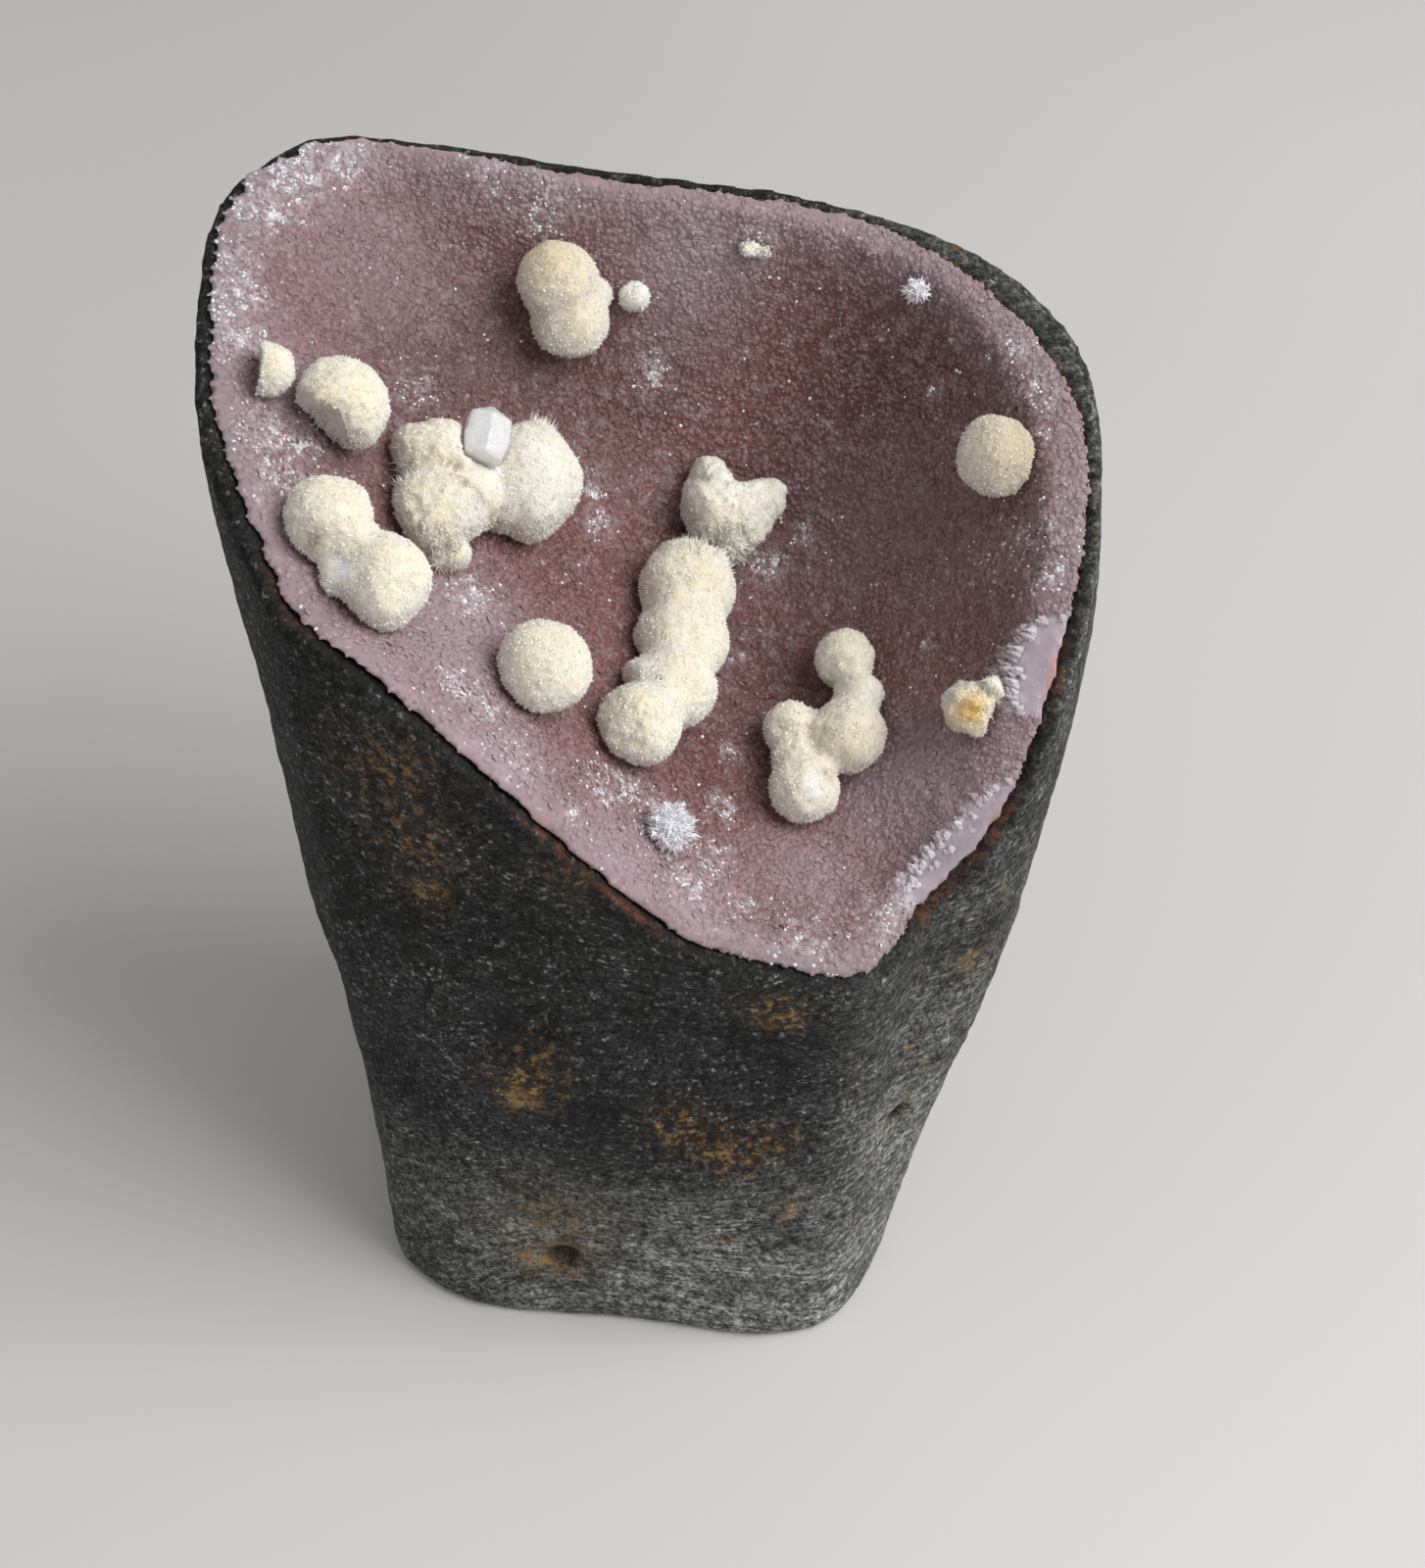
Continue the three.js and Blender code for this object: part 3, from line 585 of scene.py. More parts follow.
def basalt_material(look):
    """Ground basalt: a grey with pale and dark specks, grinding marks, veins and rust, painted paler on the
    right where the light falls, with painted shade in a crack and holes and a painted shadow under the
    crust's edge.
    """
    material, tree, surface = new_material("ground_basalt")
    place = millimetres(tree)
    # The grinding marks run level, bend a little, and climb on the stone's left
    swirl = noise(tree, place, 26, detail=1, roughness=0.5).outputs["Color"]
    bent = arrow(tree, "MULTIPLY_ADD", {0: swirl, 1: (6, 6, 12), 2: place})
    apart = put(tree, "ShaderNodeSeparateXYZ", {"Vector": bent}).outputs
    climb = maths(tree, "MAXIMUM", maths(tree, "SUBTRACT", CLIMB_START, apart["X"]))
    height = sum_of(tree, apart["Z"], product(tree, climb, CLIMB))
    sheared = put(tree, "ShaderNodeCombineXYZ", {"X": apart["X"], "Y": apart["Y"], "Z": height})
    along = put(tree, "ShaderNodeMapping", {"Vector": sheared, "Scale": (0.25, 0.25, 2.4)})
    marks = noise(tree, along, 1)
    grain = noise(tree, place, 0.5, detail=3, roughness=0.8)
    specks = use(tree, "sugar", {"Place": place, "Grain": 0.36})
    clots = noise(tree, place, 1.2, roughness=0.75)
    broad = noise(tree, place, 14)
    blotch = noise(tree, place, 5, roughness=0.65)
    ragged = noise(tree, place, 1.3, detail=5, roughness=0.72)
    # The body, its pale and brown parts and its pale grains. The pale part is partly the paler ground foot
    # and partly painted light: paler on the right, where the key light falls, and darker towards the shaded
    # left of the foot
    pale_zone = attribute(tree, "pale", spread(tree, blotch, 0.3, 0.55, 0.45, 1))
    body = blend(tree, pale_zone, look.basalt_colour, look.basalt_pale)
    browned = attribute(tree, "brown", spread(tree, blotch, 0.45, 0.6, 0, 0.75))
    body = blend(tree, browned, body, look.basalt_brown)
    pale_grains = spread(tree, specks.outputs["Shade"], 0.8, 0.95)
    flecks = product(tree, pale_grains, spread(tree, clots, 0.42, 0.6, 0.1, 0.5))
    flecked = blend(tree, flecks, body, look.basalt_speck)
    shade = product(
        tree,
        spread(tree, broad, 0.32, 0.68, 0.6, 1.35),
        spread(tree, grain, 0.34, 0.66, 0.25, 1.75),
        spread(tree, marks, 0.36, 0.64, 0.6, 1.45),
        spread(tree, clots, 0.36, 0.62, 0.45, 1.5),
    )
    toned = arrow(tree, "SCALE", {0: flecked, "Scale": shade})
    # Thin veins, stains, painted shade along the crack and in the holes, a painted shadow just under the
    # crust's edge, and the baked seam
    wander = maths(tree, "SUBTRACT", noise(tree, place, 11, detail=3, roughness=0.5), 0.5)
    off_vein = maths(tree, "ABSOLUTE", wander)
    vein = attribute(tree, "right", spread(tree, off_vein, 0, 0.01, 0.22, 0))
    veined = blend(tree, vein, toned, look.ochre_colour)
    rust = attribute(tree, "rust", spread(tree, ragged, 0.42, 0.58, 0, 1.3))
    stained = blend(tree, rust, veined, look.rust_colour)
    crumbs = product(tree, rust, spread(tree, clots, 0.48, 0.58))
    stained = blend(tree, crumbs, stained, look.ochre_colour)
    ochre = attribute(tree, "ochre", spread(tree, ragged, 0.45, 0.6, 0.1, 1.2))
    stained = blend(tree, ochre, stained, look.ochre_colour)
    shadow = maths(tree, "MAXIMUM", attribute(tree, "crack"), attribute(tree, "lip"))
    shaded = blend(tree, shadow, stained, look.basalt_dark)
    seam = attribute(tree, "seam", spread(tree, ragged, 0.42, 0.55))
    rough = sum_of(tree, product(tree, marks, 0.7), product(tree, grain, 0.5), product(tree, ragged, 0.3))
    finished = {
        "Base Color": blend(tree, seam, shaded, look.seam_colour),
        "Roughness": spread(tree, grain, 0.3, 0.7, 0.9, 0.6),
        "Normal": bumps(tree, rough, 0.8, 0.45 * MM),
        "Specular IOR Level": 0.25,
    }
    fill(tree, surface, finished)
    return material


def quartz_material(look):
    """Sugary mauve quartz: dark clouds, darkened further with painted shade, pink clouds, painted glints,
    frost, a clearer cut edge and a rusty seam.
    """
    material, tree, surface = new_material("mauve_druse")
    place = millimetres(tree)
    sugar = use(tree, "sugar", {"Place": place, "Grain": 0.8}).outputs
    fine = use(tree, "sugar", {"Place": place, "Grain": 0.38}).outputs
    cloud = noise(tree, place, 5)
    mottle = noise(tree, place, 1.5, detail=3)
    # The crystals, from their dark colour, darker still where shade is painted, to their pale tips
    deep = attribute(tree, "deep", spread(tree, cloud, 0.3, 0.6, 0.7, 1))
    mauve = blend(tree, deep, look.quartz_colour, look.quartz_deep)
    mauve = blend(tree, attribute(tree, "lilac"), mauve, look.quartz_lilac)
    mauve = blend(tree, attribute(tree, "pink"), mauve, look.quartz_pink)
    mauve = blend(tree, spread(tree, mottle, 0.48, 0.72, 0, 0.4), mauve, look.quartz_pale)
    # Painted glints: random grains and the crystals' tips are painted paler, standing in for their sparkle
    glints = sum_of(tree, product(tree, sugar["Shade"], 0.5), product(tree, fine["Shade"], 0.5))
    lit = blend(tree, spread(tree, glints, 0.6, 1, 0, 0.3), mauve, look.quartz_pale)
    tip = attribute(tree, "tip")
    lit = blend(tree, spread(tree, tip, 0.3, 1, 0, 0.25), lit, look.quartz_pale)
    # The cut band, the frost, the band's teeth and the seam
    cut = attribute(tree, "cut")
    band = product(tree, cut, spread(tree, cloud, 0.3, 0.7, 0.45, 0.85))
    banded = blend(tree, band, lit, look.quartz_cut)
    flakes = use(tree, "patches", {"Place": place, "Size": 0.8, "Share": 0.2})
    powder = spread(tree, noise(tree, place, 0.7, roughness=0.7), 0.4, 0.62)
    dust = attribute(tree, "frost", powder)
    frosted = blend(tree, sum_of(tree, dust, product(tree, flakes, 0.3)), banded, look.frost_colour)
    toothed = blend(tree, attribute(tree, "tooth"), frosted, look.frost_colour)
    broken = spread(tree, noise(tree, place, 1.1, roughness=0.7), 0.42, 0.58)
    ember = blend(tree, attribute(tree, "ember"), look.seam_colour, look.ember_colour)
    seam = attribute(tree, "rim", spread(tree, broken, 0, 1, 0.4, 1))
    grains = sum_of(tree, sugar["Height"], fine["Height"])
    rough = product(tree, spread(tree, cut, 0, 1, 1, 0.7), grains)
    finished = {
        "Base Color": blend(tree, seam, toothed, ember),
        "Roughness": spread(tree, fine["Shade"], 0, 1, 0.3, 0.65),
        "Normal": bumps(tree, rough, 0.3, 0.15 * MM),
        "Subsurface Weight": spread(tree, tip, 0, 0.05, 0.8, 0),
        "Subsurface Radius": (1, 0.75, 0.85),
        "Subsurface Scale": 2 * MM,
        "Specular IOR Level": 0.3,
    }
    fill(tree, surface, finished)
    return material


def okenite_material(look):
    """Cream felt of fine needles, whiter at their tips, with stains and painted shade in creases, yellow
    cores and white powder, painted darker where a puffball sits in shade, warmer where it faces the light
    and whiter at its rims.
    """
    material, tree, surface = new_material("okenite_felt")
    place = millimetres(tree)
    tone = noise(tree, place, 2.4)
    # Painted light: warmer, in clouds, on the faces that look out of the hollow towards the light
    warm = attribute(tree, "warm", spread(tree, tone, 0.3, 0.7, 0.35, 1))
    cream = blend(tree, warm, look.okenite_colour, look.okenite_warm)
    # Painted shade: darker and warmer where a puffball sits in the wall's shade
    cream = blend(tree, attribute(tree, "dun"), cream, look.okenite_dun)
    cream = blend(tree, attribute(tree, "core"), cream, look.okenite_core)
    ragged = spread(tree, noise(tree, place, 0.8, roughness=0.7), 0.35, 0.55)
    # Brown stains, partly painted shade in the creases
    cream = blend(tree, attribute(tree, "stain", ragged), cream, look.stain_colour)
    cream = blend(tree, attribute(tree, "powder", ragged), cream, look.frost_colour)
    tip = attribute(tree, "tip")
    nap = noise(tree, place, 0.2, detail=2, roughness=0.7)
    finished = {
        "Base Color": blend(tree, spread(tree, tip, 0.2, 1, 0, 0.6), cream, look.okenite_tip),
        "Roughness": 0.95,
        "Normal": bumps(tree, nap, 0.35, 0.12 * MM),
        "Specular IOR Level": 0.15,
        "Subsurface Weight": spread(tree, tip, 0, 0.05, 0.7, 0),
        "Subsurface Radius": (1, 0.85, 0.6),
        "Subsurface Scale": 1 * MM,
        "Sheen Weight": 0.2,
    }
    fill(tree, surface, finished)
    return material


def frost_material(look):
    """White frost of tiny needles."""
    material, tree, surface = new_material("white_frost")
    tone = product(tree, noise(tree, millimetres(tree), 0.7, detail=3, roughness=0.5), 0.3)
    white = blend(tree, tone, look.frost_colour, look.quartz_pale)
    fill(tree, surface, {"Base Color": white, "Roughness": 0.5})
    return material


def crystal_material(look):
    """Milky quartz: light passes, softened by haze and cleavage."""
    material, tree, surface = new_material("milky_crystal")
    haze = noise(tree, millimetres(tree), 1.4)
    finished = {
        "Base Color": blend(tree, haze, look.crystal_colour, look.frost_colour),
        "Roughness": spread(tree, haze, 0.35, 0.65, 0.15, 0.5),
        "Normal": bumps(tree, haze, 0.3, 0.2 * MM),
        "Transmission Weight": 0.25,
        "IOR": 1.54,
        "Subsurface Weight": 0.8,
        "Subsurface Radius": (1, 1, 1),
        "Subsurface Scale": 1.5 * MM,
    }
    fill(tree, surface, finished)
    return material


def floor_material(look):
    """Pale matt paper."""
    material, tree, surface = new_material("pale_floor")
    place = put(tree, "ShaderNodeTexCoord").outputs["Object"]
    tone = spread(tree, noise(tree, place, 0.4, detail=2, roughness=0.5), 0.3, 0.7, 0, 0.3)
    paper = blend(tree, tone, look.floor_colour, (1, 1, 1, 1), "SOFT_LIGHT")
    fill(tree, surface, {"Base Color": paper, "Roughness": 0.9})
    return material


# ---- what a user can change


def colour(name, what, red, green, blue):
    """A colour setting, described by what has the colour."""
    shade = (red, green, blue, 1)
    return FloatVectorProperty(
        name=name, description=f"Colour of {what}", subtype="COLOR", size=4, min=0, max=1, default=shade
    )


def length(name, description, size):
    """A length setting, its default in millimetres."""
    return FloatProperty(name=name, description=description, unit="LENGTH", precision=5, default=size * MM)


def power(lamp, watts):
    """A setting for a lamp's power."""
    return FloatProperty(
        name=f"{lamp} light", description=f"Power of the {lamp} light", unit="POWER", default=watts
    )


class StoneSettings(bpy.types.PropertyGroup):
    """The basalt's finish"""

    face: length("Face size", "Size of the stone's small faces", 0.65)
    basalt_colour: colour("Basalt", "the ground face", 0.0185, 0.0195, 0.02)
    # Painted shade: the colour that the crack, the holes and the stone just under the crust's edge are
    # darkened towards
    basalt_dark: colour("Dark grains", "the darkest grains", 0.008, 0.008, 0.008)
    # The paler ground foot, and painted light on the stone's right side
    basalt_pale: colour("Pale basalt", "the foot and the right edge", 0.175, 0.178, 0.165)
    basalt_brown: colour("Brown basalt", "its brown blotches", 0.014, 0.0135, 0.01)
    basalt_speck: colour("Pale grains", "the feldspar grains", 0.24, 0.235, 0.22)
    rust_colour: colour("Rust", "the iron stains", 0.06, 0.027, 0.01)
    ochre_colour: colour("Ochre", "the brightest stains", 0.36, 0.22, 0.08)
    seam_colour: colour("Baked seam", "the line round the quartz", 0.4, 0.12, 0.045)


class QuartzSettings(bpy.types.PropertyGroup):
    """The druse's finish"""

    face: length("Face size", "Size of the druse's small faces", 0.45)
    crystal: length("Crystal size", "Radius of the small crystals of the druse", 0.4)
    density: FloatProperty(name="Crystals", description="Crystals on a square millimetre", default=4.6)
    quartz_colour: colour("Quartz", "the druse", 0.205, 0.092, 0.09)
    # Partly the quartz's own darker colour, partly painted shade
    quartz_deep: colour("Deep quartz", "its darkest part", 0.096, 0.035, 0.031)
    quartz_pink: colour("Pink quartz", "its thin front edge", 0.4, 0.285, 0.32)
    quartz_pale: colour("Pale quartz", "its glinting faces", 0.36, 0.275, 0.3)
    quartz_lilac: colour("Lilac quartz", "the druse near its edge", 0.36, 0.285, 0.315)
    quartz_cut: colour("Cut quartz", "the cut edge", 0.55, 0.48, 0.54)
    seam_colour: colour("Seam", "the line between quartz and basalt", 0.2, 0.085, 0.04)
    ember_colour: colour("Bright seam", "that line where it is brightest", 0.62, 0.15, 0.04)
    frost_colour: colour("Frost", "the white frost", 0.93, 0.94, 0.98)
    crystal_colour: colour("Milky crystal", "the crystal on the puffballs", 0.93, 0.94, 0.97)


class OkeniteSettings(bpy.types.PropertyGroup):
    """The puffballs' finish"""

    face: length("Face size", "Size of a puffball's small faces", 0.26)
    crease: length("Crease", "Half the width of the creases that fibres fill", 0.8)
    fibre: length("Fibre length", "How far the fibres stand out", 0.18)
    fibre_radius: length("Fibre radius", "Half the width of a fibre at its root", 0.05)
    density: FloatProperty(name="Fibres", description="Fibres on a square millimetre", default=40)
    granule: length("Granule size", "Radius of the small lumps of the felt", 0.17)
    okenite_colour: colour("Okenite", "the felt", 0.93, 0.885, 0.77)
    # Painted light: the warmer colour of the faces that look towards the light
    okenite_warm: colour("Warm okenite", "its warmer clouds", 0.93, 0.84, 0.64)
    # Painted shade on the puffballs that sit in shade
    okenite_dun: colour("Dun okenite", "the duller puffballs", 0.6, 0.49, 0.34)
    okenite_tip: colour("Fibre tips", "the fibres' tips", 0.97, 0.95, 0.89)
    okenite_core: colour("Core", "a broken puffball's core", 0.88, 0.58, 0.16)
    # The brown stains and the painted shade in the puffballs' creases
    stain_colour: colour("Stain", "the brown hollows", 0.34, 0.22, 0.09)
    frost_colour: colour("Powder", "the white powder", 0.93, 0.93, 0.93)


class StudioSettings(bpy.types.PropertyGroup):
    """The floor, the light and the camera"""

    key_power: power("Key", 4.6)
    fill_power: power("Fill", 0.15)
    sky: FloatProperty(name="Sky", description="Brightness of the surroundings", default=0.4)
    floor_colour: colour("Floor", "the floor", 0.62, 0.61, 0.6)


# ---- operators


class OKENITE_OT_shared_effects(bpy.types.Operator):
    """Build the node groups that several materials share"""

    bl_idname = "okenite.shared_effects"
    bl_label = "Shared effects"

    def execute(self, context):
        sugar_group()
        patches_group()
        return {"FINISHED"}


class OKENITE_OT_basalt(bpy.types.Operator):
    """Dress the basalt stone"""

    bl_idname = "okenite.basalt"
    bl_label = "Basalt stone"

    def execute(self, context):
        look = context.scene.okenite_stone
        piece = copied("basalt_stone", "stone", look.face, smooth=5)
        self.mark_zones(piece.data)
        relief(piece, [(9, 0.3), (2.5, 0.2), (1.1, 0.1)], level="sunk")
        # The foot is cut flat, so none of it dips below the floor
        places = points_of(piece.data)
        places[:, 2] = np.maximum(places[:, 2], 0)
        piece.data.vertices.foreach_set("co", places.ravel())
        finish(piece, "basalt_stone", basalt_material(look))
        return {"FINISHED"}

    def mark_zones(self, mesh):
        """Marks the stone's pale and brown parts, its stains, and where shade is painted: along its crack,
        in its holes and just under the crust's edge.
        """
        places = points_of(mesh) / MM
        x, _, z = places.T
        steps = np.linspace(0, len(CRACK) - 1, CRACK_STEPS)
        line = np.stack([np.interp(steps, range(len(CRACK)), axis) for axis in np.transpose(CRACK)], axis=1)
        plan = plan_of(places * MM)
        # How far each point lies from the druse's edge, in millimetres
        closest = nearness(places, [(spot, 1, 1) for spot in druse_edge() / MM])
        beyond = np.sqrt(-np.log(np.maximum(closest, LEAST_NEARNESS)))
        # Pale: the ground foot, fading into painted shade on its left, and painted light on the right side
        foot = ramp(z, *FOOT_HEIGHTS) * (0.5 + 0.5 * ramp(x, *FOOT_SIDES))
        side = ramp(x, *PALE_SIDES) * (0.3 + 0.5 * ramp(z, *PALE_HEIGHTS))
        mark(
            mesh,
            pale=np.maximum(foot, side),
            brown=ramp(z, *BROWN_HEIGHTS) * ramp(x, *BROWN_SIDES),
            right=ramp(x, *VEIN_SIDES),
            rust=nearness(places, RUST),
            ochre=nearness(places, OCHRE),
            # Painted shade along the crack and in the holes, and a painted shadow just under the crust's
            # edge, strongest at the front
            crack=nearness(places, HOLES + [(point, 0.5, 0.9) for point in line]),
            sunk=-nearness(places, HOLES) * MM,
            lip=ramp(beyond, *LIP_REACH) * (0.2 + 0.4 * ramp(plan[:, 1], 0, -12)),
            seam=0.8 * ramp(beyond, *SEAM_REACH) * nearness(plan, EMBERS),
        )


class OKENITE_OT_druse(bpy.types.Operator):
    """Dress the quartz druse and cover it with small crystals"""

    bl_idname = "okenite.druse"
    bl_label = "Quartz druse"

    def execute(self, context):
        look = context.scene.okenite_quartz
        piece = copied("quartz_druse", "druse", look.face, smooth=13)
        self.mark_zones(piece.data)
        self.widen(piece.data)
        relief(piece, [(3, 0.2), (1.1, 0.07)])
        relief(piece, [(1.6, 0.14), (0.8, 0.08)], where="open")
        crystals = twin(piece, "druse_crystals")
        teeth = twin(piece, "druse_teeth")
        twin(piece, "frost")
        tall, wide = span(look.crystal, 0.2, 0.5), span(look.crystal, 0.5, 1.2)
        sow(crystals, tall, wide, per_mm2=look.density, lean=0.3, seed=3, where="open")
        tall, wide = span(MM, 0.4, 0.95), span(MM, 0.32, 0.6)
        sow(teeth, tall, wide, sides=6, per_mm2=3.2, lean=0.35, seed=17, where="teeth", pull=0.9)
        material = quartz_material(look)
        finish(piece, "quartz_druse", material)
        finish(crystals, None, material, smooth=False)
        finish(teeth, None, material, smooth=False)
        return {"FINISHED"}

    def widen(self, mesh):
        """Carries the crust's edge out over the stone's rim, and lifts it clear."""
        places = points_of(mesh)
        plan = plan_of(places)
        inside, _ = from_edge(plan)
        turn = np.degrees(np.arctan2(plan[:, 1], -plan[:, 0] - BRIM_MIDDLE))
        reach = np.interp(turn, BRIM_TURNS, BRIM_WIDTHS) * ramp(inside, BRIM_START, 0.3) * MM
        out = plan / np.linalg.norm(plan, axis=1, keepdims=True)
        moves = out[:, :1] * np.array(ACROSS) + out[:, 1:] * np.array(UPSLOPE)
        moves = moves + BRIM_LIFT * np.array(HOLLOW_AXIS)
        mesh.vertices.foreach_set("co", (places + reach[:, None] * moves).ravel())

    def mark_zones(self, mesh):
        """Marks the druse's cut band and its teeth, its open crystal face, its clouds, the darkest partly
        painted shade, and frost.
        """
        places = points_of(mesh)
        plan = plan_of(places)
        facing = facing_of(mesh)
        inside, along = from_edge(plan)
        # The cut band on the right, its inner edge a row of teeth
        right = ramp(plan[:, 0], *RIGHT_WALL)
        width = right * np.interp(plan[:, 1], BAND_STATIONS, BAND_WIDTHS)
        row = along / TOOTH_PITCH
        zigzag = 2 * np.abs(row % 1 - 0.5) + 0.6 * np.abs(row / FINE_PITCH % 1 - 0.5)
        banded = ramp(width, 0.6, 2)
        inner = width + banded * (zigzag - 0.6)
        off_inner = np.abs(inside - inner)
        cut = banded * np.clip((inner - inside) / 0.4 + 0.5, 0, 1)
        # The open face, its crystals thinning out down the slope to the edge
        slope = np.interp(plan[:, 1], SLOPE_STATIONS, SLOPE_WIDTHS)
        thinning = right + (1 - right) * (0.03 + 0.97 * ramp(inside, 0.3, slope))
        # The bright stretches of the seam, and the frost in clumps
        glow = nearness(plan, EMBERS)
        frost = nearness(plan, FROST)
        lumps = np.array([solid_noise.noise(Vector(place) / CLUMP) for place in places])
        mark(
            mesh,
            cut=cut,
            teeth=banded * (off_inner < 0.6) * (facing > 0.05),
            tooth=0.3 * banded * ramp(off_inner, 1.2, 0.3),
            open=(1 - cut) * thinning * (facing > 0.25),
            ember=glow,
            rim=ramp(inside, 1, 0.4) * (0.2 + 0.8 * glow),
            # Darker quartz, and painted shade
            deep=nearness(plan, DEEP),
            pink=nearness(plan, PINK),
            lilac=np.maximum(nearness(plan, LILAC), 0.75 * ramp(inside, 7, 0.5)),
            frost=frost * (0.35 + 0.65 * ramp(lumps, -0.2, 0.3)),
            flakes=np.maximum(frost * ramp(lumps, 0, 0.25), STRAY_FLAKES) * (facing > 0.2),
        )


class OKENITE_OT_puffballs(bpy.types.Operator):
    """Grow the okenite puffballs: a felted body under a coat of fibres and tufts"""

    bl_idname = "okenite.puffballs"
    bl_label = "Puffballs"

    def execute(self, context):
        look = context.scene.okenite_balls
        material = okenite_material(look)
        for count, node in enumerate(sorted(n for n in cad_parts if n.startswith("puffball"))):
            piece = copied(node, node.replace("puffball", "okenite"), look.face, smooth=3)
            filled = CREASES.get(node.removeprefix("puffball_"), 1)
            close_creases(piece, look.crease * filled, look.face)
            self.mark_forms(piece.data)
            relief(piece, [(2.2, 0.8), (1.1, 0.5)], level="swell", where="torn")
            relief(piece, [(3.2, 0.24), (1.2, 0.14), (0.6, 0.12)], level=-0.15 * MM)
            self.mark_zones(piece.data)
            seed = 11 + 7 * count
            granules, tufts = twin(piece, "granules"), twin(piece, "tufts")
            tall, wide = span(look.fibre, 0.5, 1.2), span(look.fibre_radius, 0.6, 1)
            sow(
                piece, tall, wide, sides=3, per_mm2=look.density, lean=0.5, seed=seed, longer="shag",
                keep=True,
            )
            tall, wide = span(MM, 0.22, 0.5), span(MM, 0.08, 0.16)
            sow(
                tufts, tall, wide, sides=3, per_mm2=7, lean=0.6, seed=seed + 3, where="tufted",
                longer="shag",
            )
            tall, wide = span(look.granule, 0.6, 1.4), span(look.granule, 0.6, 1.2)
            sow(granules, tall, wide, per_mm2=5, lean=0.5, seed=seed + 5, longer="fringe")
            self.join(piece, tufts)
            self.join(piece, granules)
            finish(piece, node, material)
        return {"FINISHED"}

    def join(self, piece, other):
        """Moves another piece's mesh into a piece."""
        form = bmesh.new()
        form.from_mesh(piece.data)
        form.from_mesh(other.data)
        form.to_mesh(piece.data)
        form.free()
        spent = other.data
        bpy.data.objects.remove(other)
        bpy.data.meshes.remove(spent)

    def mark_forms(self, mesh):
        """Marks where a puffball is torn, and how far it swells or sinks."""
        plan = plan_of(points_of(mesh))
        swell = nearness(plan, LOBES) - nearness(plan, NOTCHES)
        mark(mesh, torn=nearness(plan, TORN), swell=swell * MM)

    def mark_zones(self, mesh):
        """Marks where the fibres are long, where they are stained or painted with shade in creases, painted
        in shade or painted warmer as lit, and where they are powdered or painted whiter at the rims.
        """
        plan = plan_of(points_of(mesh))
        facing = facing_of(mesh)
        aside = ramp(facing, 0.55, 0)
        shaggy = nearness(plan, SHAGGY)
        mark(
            mesh,
            fringe=0.6 + 1.2 * aside,
            shag=(1 + 1.5 * shaggy) * (0.8 + 0.6 * aside),
            tufted=ramp(shaggy, 0.4, 0.95),
            # Painted light: the faces that look out of the hollow, towards the light, are painted warmer
            warm=ramp(facing, 0.35, 0.95),
            # Painted shade on puffballs that sit in shade
            dun=nearness(plan, DUN),
            stain=nearness(plan, STAINS),
            core=nearness(plan, CORES),
            # Besides the white powder, the rims that turn away from the hollow's mouth are painted whiter:
            # painted light, as it shows through the fibres at the edges
            powder=np.maximum(nearness(plan, POWDER), 0.4 * aside),
        )


class OKENITE_OT_crystal(bpy.types.Operator):
    """Dress the milky crystal that grew on the middle puffballs"""

    bl_idname = "okenite.crystal"
    bl_label = "Milky crystal"

    def execute(self, context):
        look = context.scene.okenite_quartz
        piece = copied("quartz_crystal_middle", "milky_crystal", 0.15 * MM, smooth=4)
        relief(piece, [(1.8, 0.22), (0.7, 0.06)])
        finish(piece, "quartz_crystal_middle", crystal_material(look))
        return {"FINISHED"}


class OKENITE_OT_frost(bpy.types.Operator):
    """Grow the white sprays and the frost on the druse"""

    bl_idname = "okenite.frost"
    bl_label = "Sprays and frost"

    def execute(self, context):
        look = context.scene.okenite_quartz
        material = frost_material(look)
        for node in ("spray_front", "spray_right"):
            piece = copied(node, node.replace("spray", "needles"), 0.2 * MM, smooth=2)
            relief(piece, [(0.8, 0.25)], level=-0.2 * MM)
            tall, wide = span(MM, 0.3, 1.2), span(MM, 0.1, 0.2)
            sow(piece, tall, wide, sides=4, per_mm2=24, lean=0.9, seed=5, keep=True)
            finish(piece, node, material, smooth=False)
        frost = bpy.data.objects["frost"]
        tall, wide = span(MM, 0.08, 0.2), span(MM, 0.1, 0.24)
        sow(frost, tall, wide, per_mm2=14, lean=0.6, seed=31, where="flakes")
        finish(frost, None, material, smooth=False)
        return {"FINISHED"}


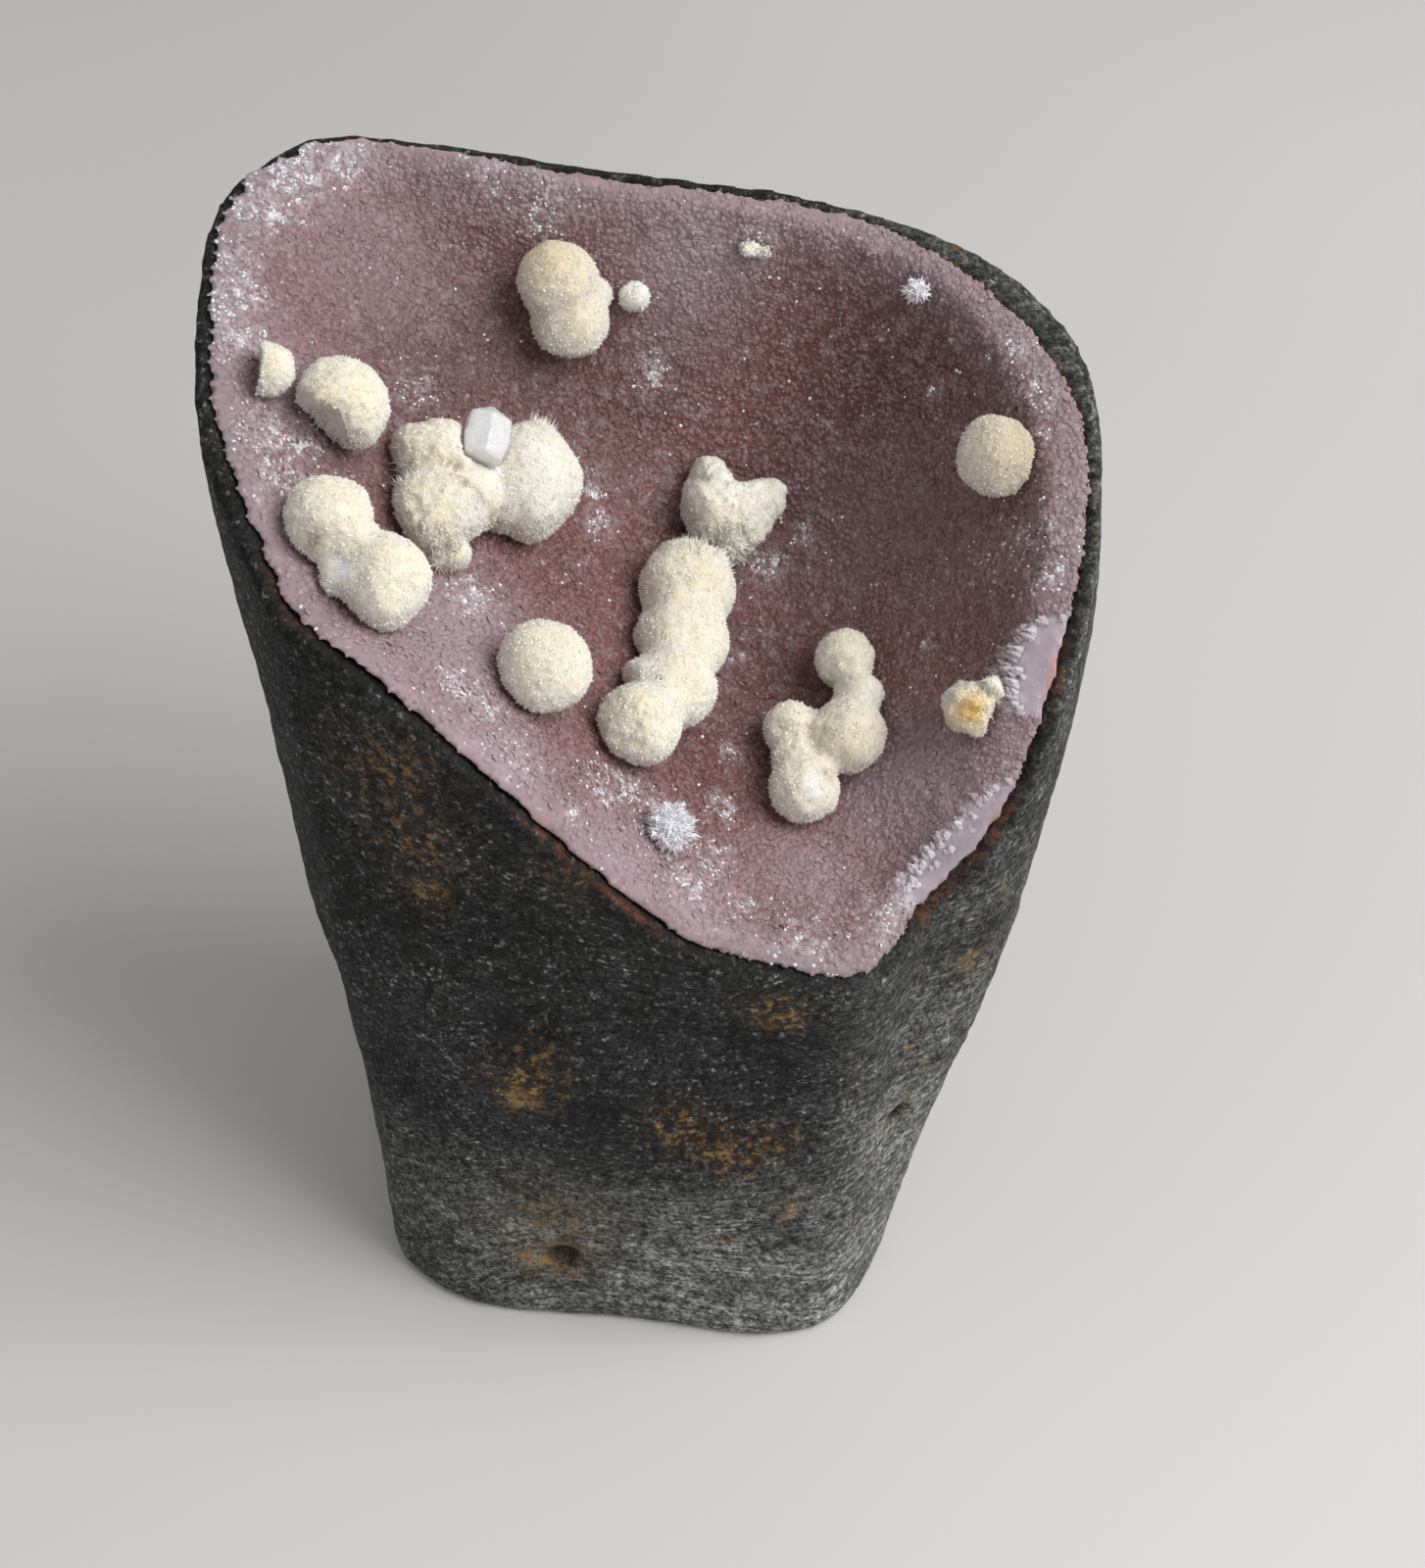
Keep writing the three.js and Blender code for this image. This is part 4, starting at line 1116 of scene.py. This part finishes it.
class OKENITE_OT_stage(bpy.types.Operator):
    """Set the floor, the lights and the camera"""

    bl_idname = "okenite.stage"
    bl_label = "Stage"

    def execute(self, context):
        look = context.scene.okenite_studio
        self.add_floor(look)
        self.add_light("key", KEY_PLACE, 0.5, look.key_power)
        self.add_light("fill", FILL_PLACE, 0.7, look.fill_power)
        world = bpy.data.worlds.new("studio")
        world.use_nodes = True
        background = world.node_tree.nodes["Background"]
        fill(world.node_tree, background, {"Color": (1, 1, 1, 1), "Strength": look.sky})
        context.scene.world = world
        context.scene.view_settings.view_transform = "Standard"
        self.add_camera(context)
        return {"FINISHED"}

    def add_floor(self, look):
        """A wide pale disc under the stone."""
        form = bmesh.new()
        bmesh.ops.create_circle(form, cap_ends=True, radius=FLOOR_RADIUS, segments=96)
        mesh = bpy.data.meshes.new("floor")
        form.to_mesh(mesh)
        form.free()
        mesh.materials.append(floor_material(look))
        floor = placed("floor", mesh)

    def add_light(self, name, place, size, watts):
        """A soft square light that faces the stone."""
        light = bpy.data.lights.new(name, "AREA")
        light.size = size
        light.energy = watts
        lamp = placed(name, light)
        lamp.location = place
        aim = Vector(LIGHT_AIM) - Vector(place)
        lamp.rotation_euler = aim.to_track_quat("-Z", "Y").to_euler()

    def add_camera(self, context):
        """A camera that looks down at the hollow, half way between level and plumb."""
        camera = bpy.data.cameras.new("camera")
        camera.sensor_width = 36
        camera.lens = 58.5
        camera.clip_start = 0.01
        holder = placed("camera", camera)
        holder.location = CAMERA_PLACE
        holder.rotation_euler = (math.radians(45), 0, 0)
        context.scene.camera = holder


class OKENITE_PT_specimen(bpy.types.Panel):
    """The specimen's pieces and settings"""

    bl_label = "Okenite specimen"
    bl_space_type = "VIEW_3D"
    bl_region_type = "UI"
    bl_category = "Okenite"

    def draw(self, context):
        for operator in OPERATORS:
            self.layout.operator(operator.bl_idname)
        for name, settings in SETTINGS.items():
            box = self.layout.box()
            box.label(text=settings.__doc__)
            for key in settings.__annotations__:
                box.prop(getattr(context.scene, name), key)


OPERATORS = (
    OKENITE_OT_stage,
    OKENITE_OT_shared_effects,
    OKENITE_OT_basalt,
    OKENITE_OT_druse,
    OKENITE_OT_puffballs,
    OKENITE_OT_crystal,
    OKENITE_OT_frost,
)
SETTINGS = {
    "okenite_stone": StoneSettings,
    "okenite_quartz": QuartzSettings,
    "okenite_balls": OkeniteSettings,
    "okenite_studio": StudioSettings,
}


def register():
    for item in (*SETTINGS.values(), *OPERATORS, OKENITE_PT_specimen):
        bpy.utils.register_class(item)
    for name, settings in SETTINGS.items():
        setattr(bpy.types.Scene, name, PointerProperty(type=settings))


def unregister():
    for name in SETTINGS:
        delattr(bpy.types.Scene, name)
    for item in (OKENITE_PT_specimen, *OPERATORS, *SETTINGS.values()):
        bpy.utils.unregister_class(item)


def main():
    register()
    for operator in OPERATORS:
        getattr(bpy.ops.okenite, operator.bl_idname.split(".")[1])()


if __name__ == "__main__":
    main()
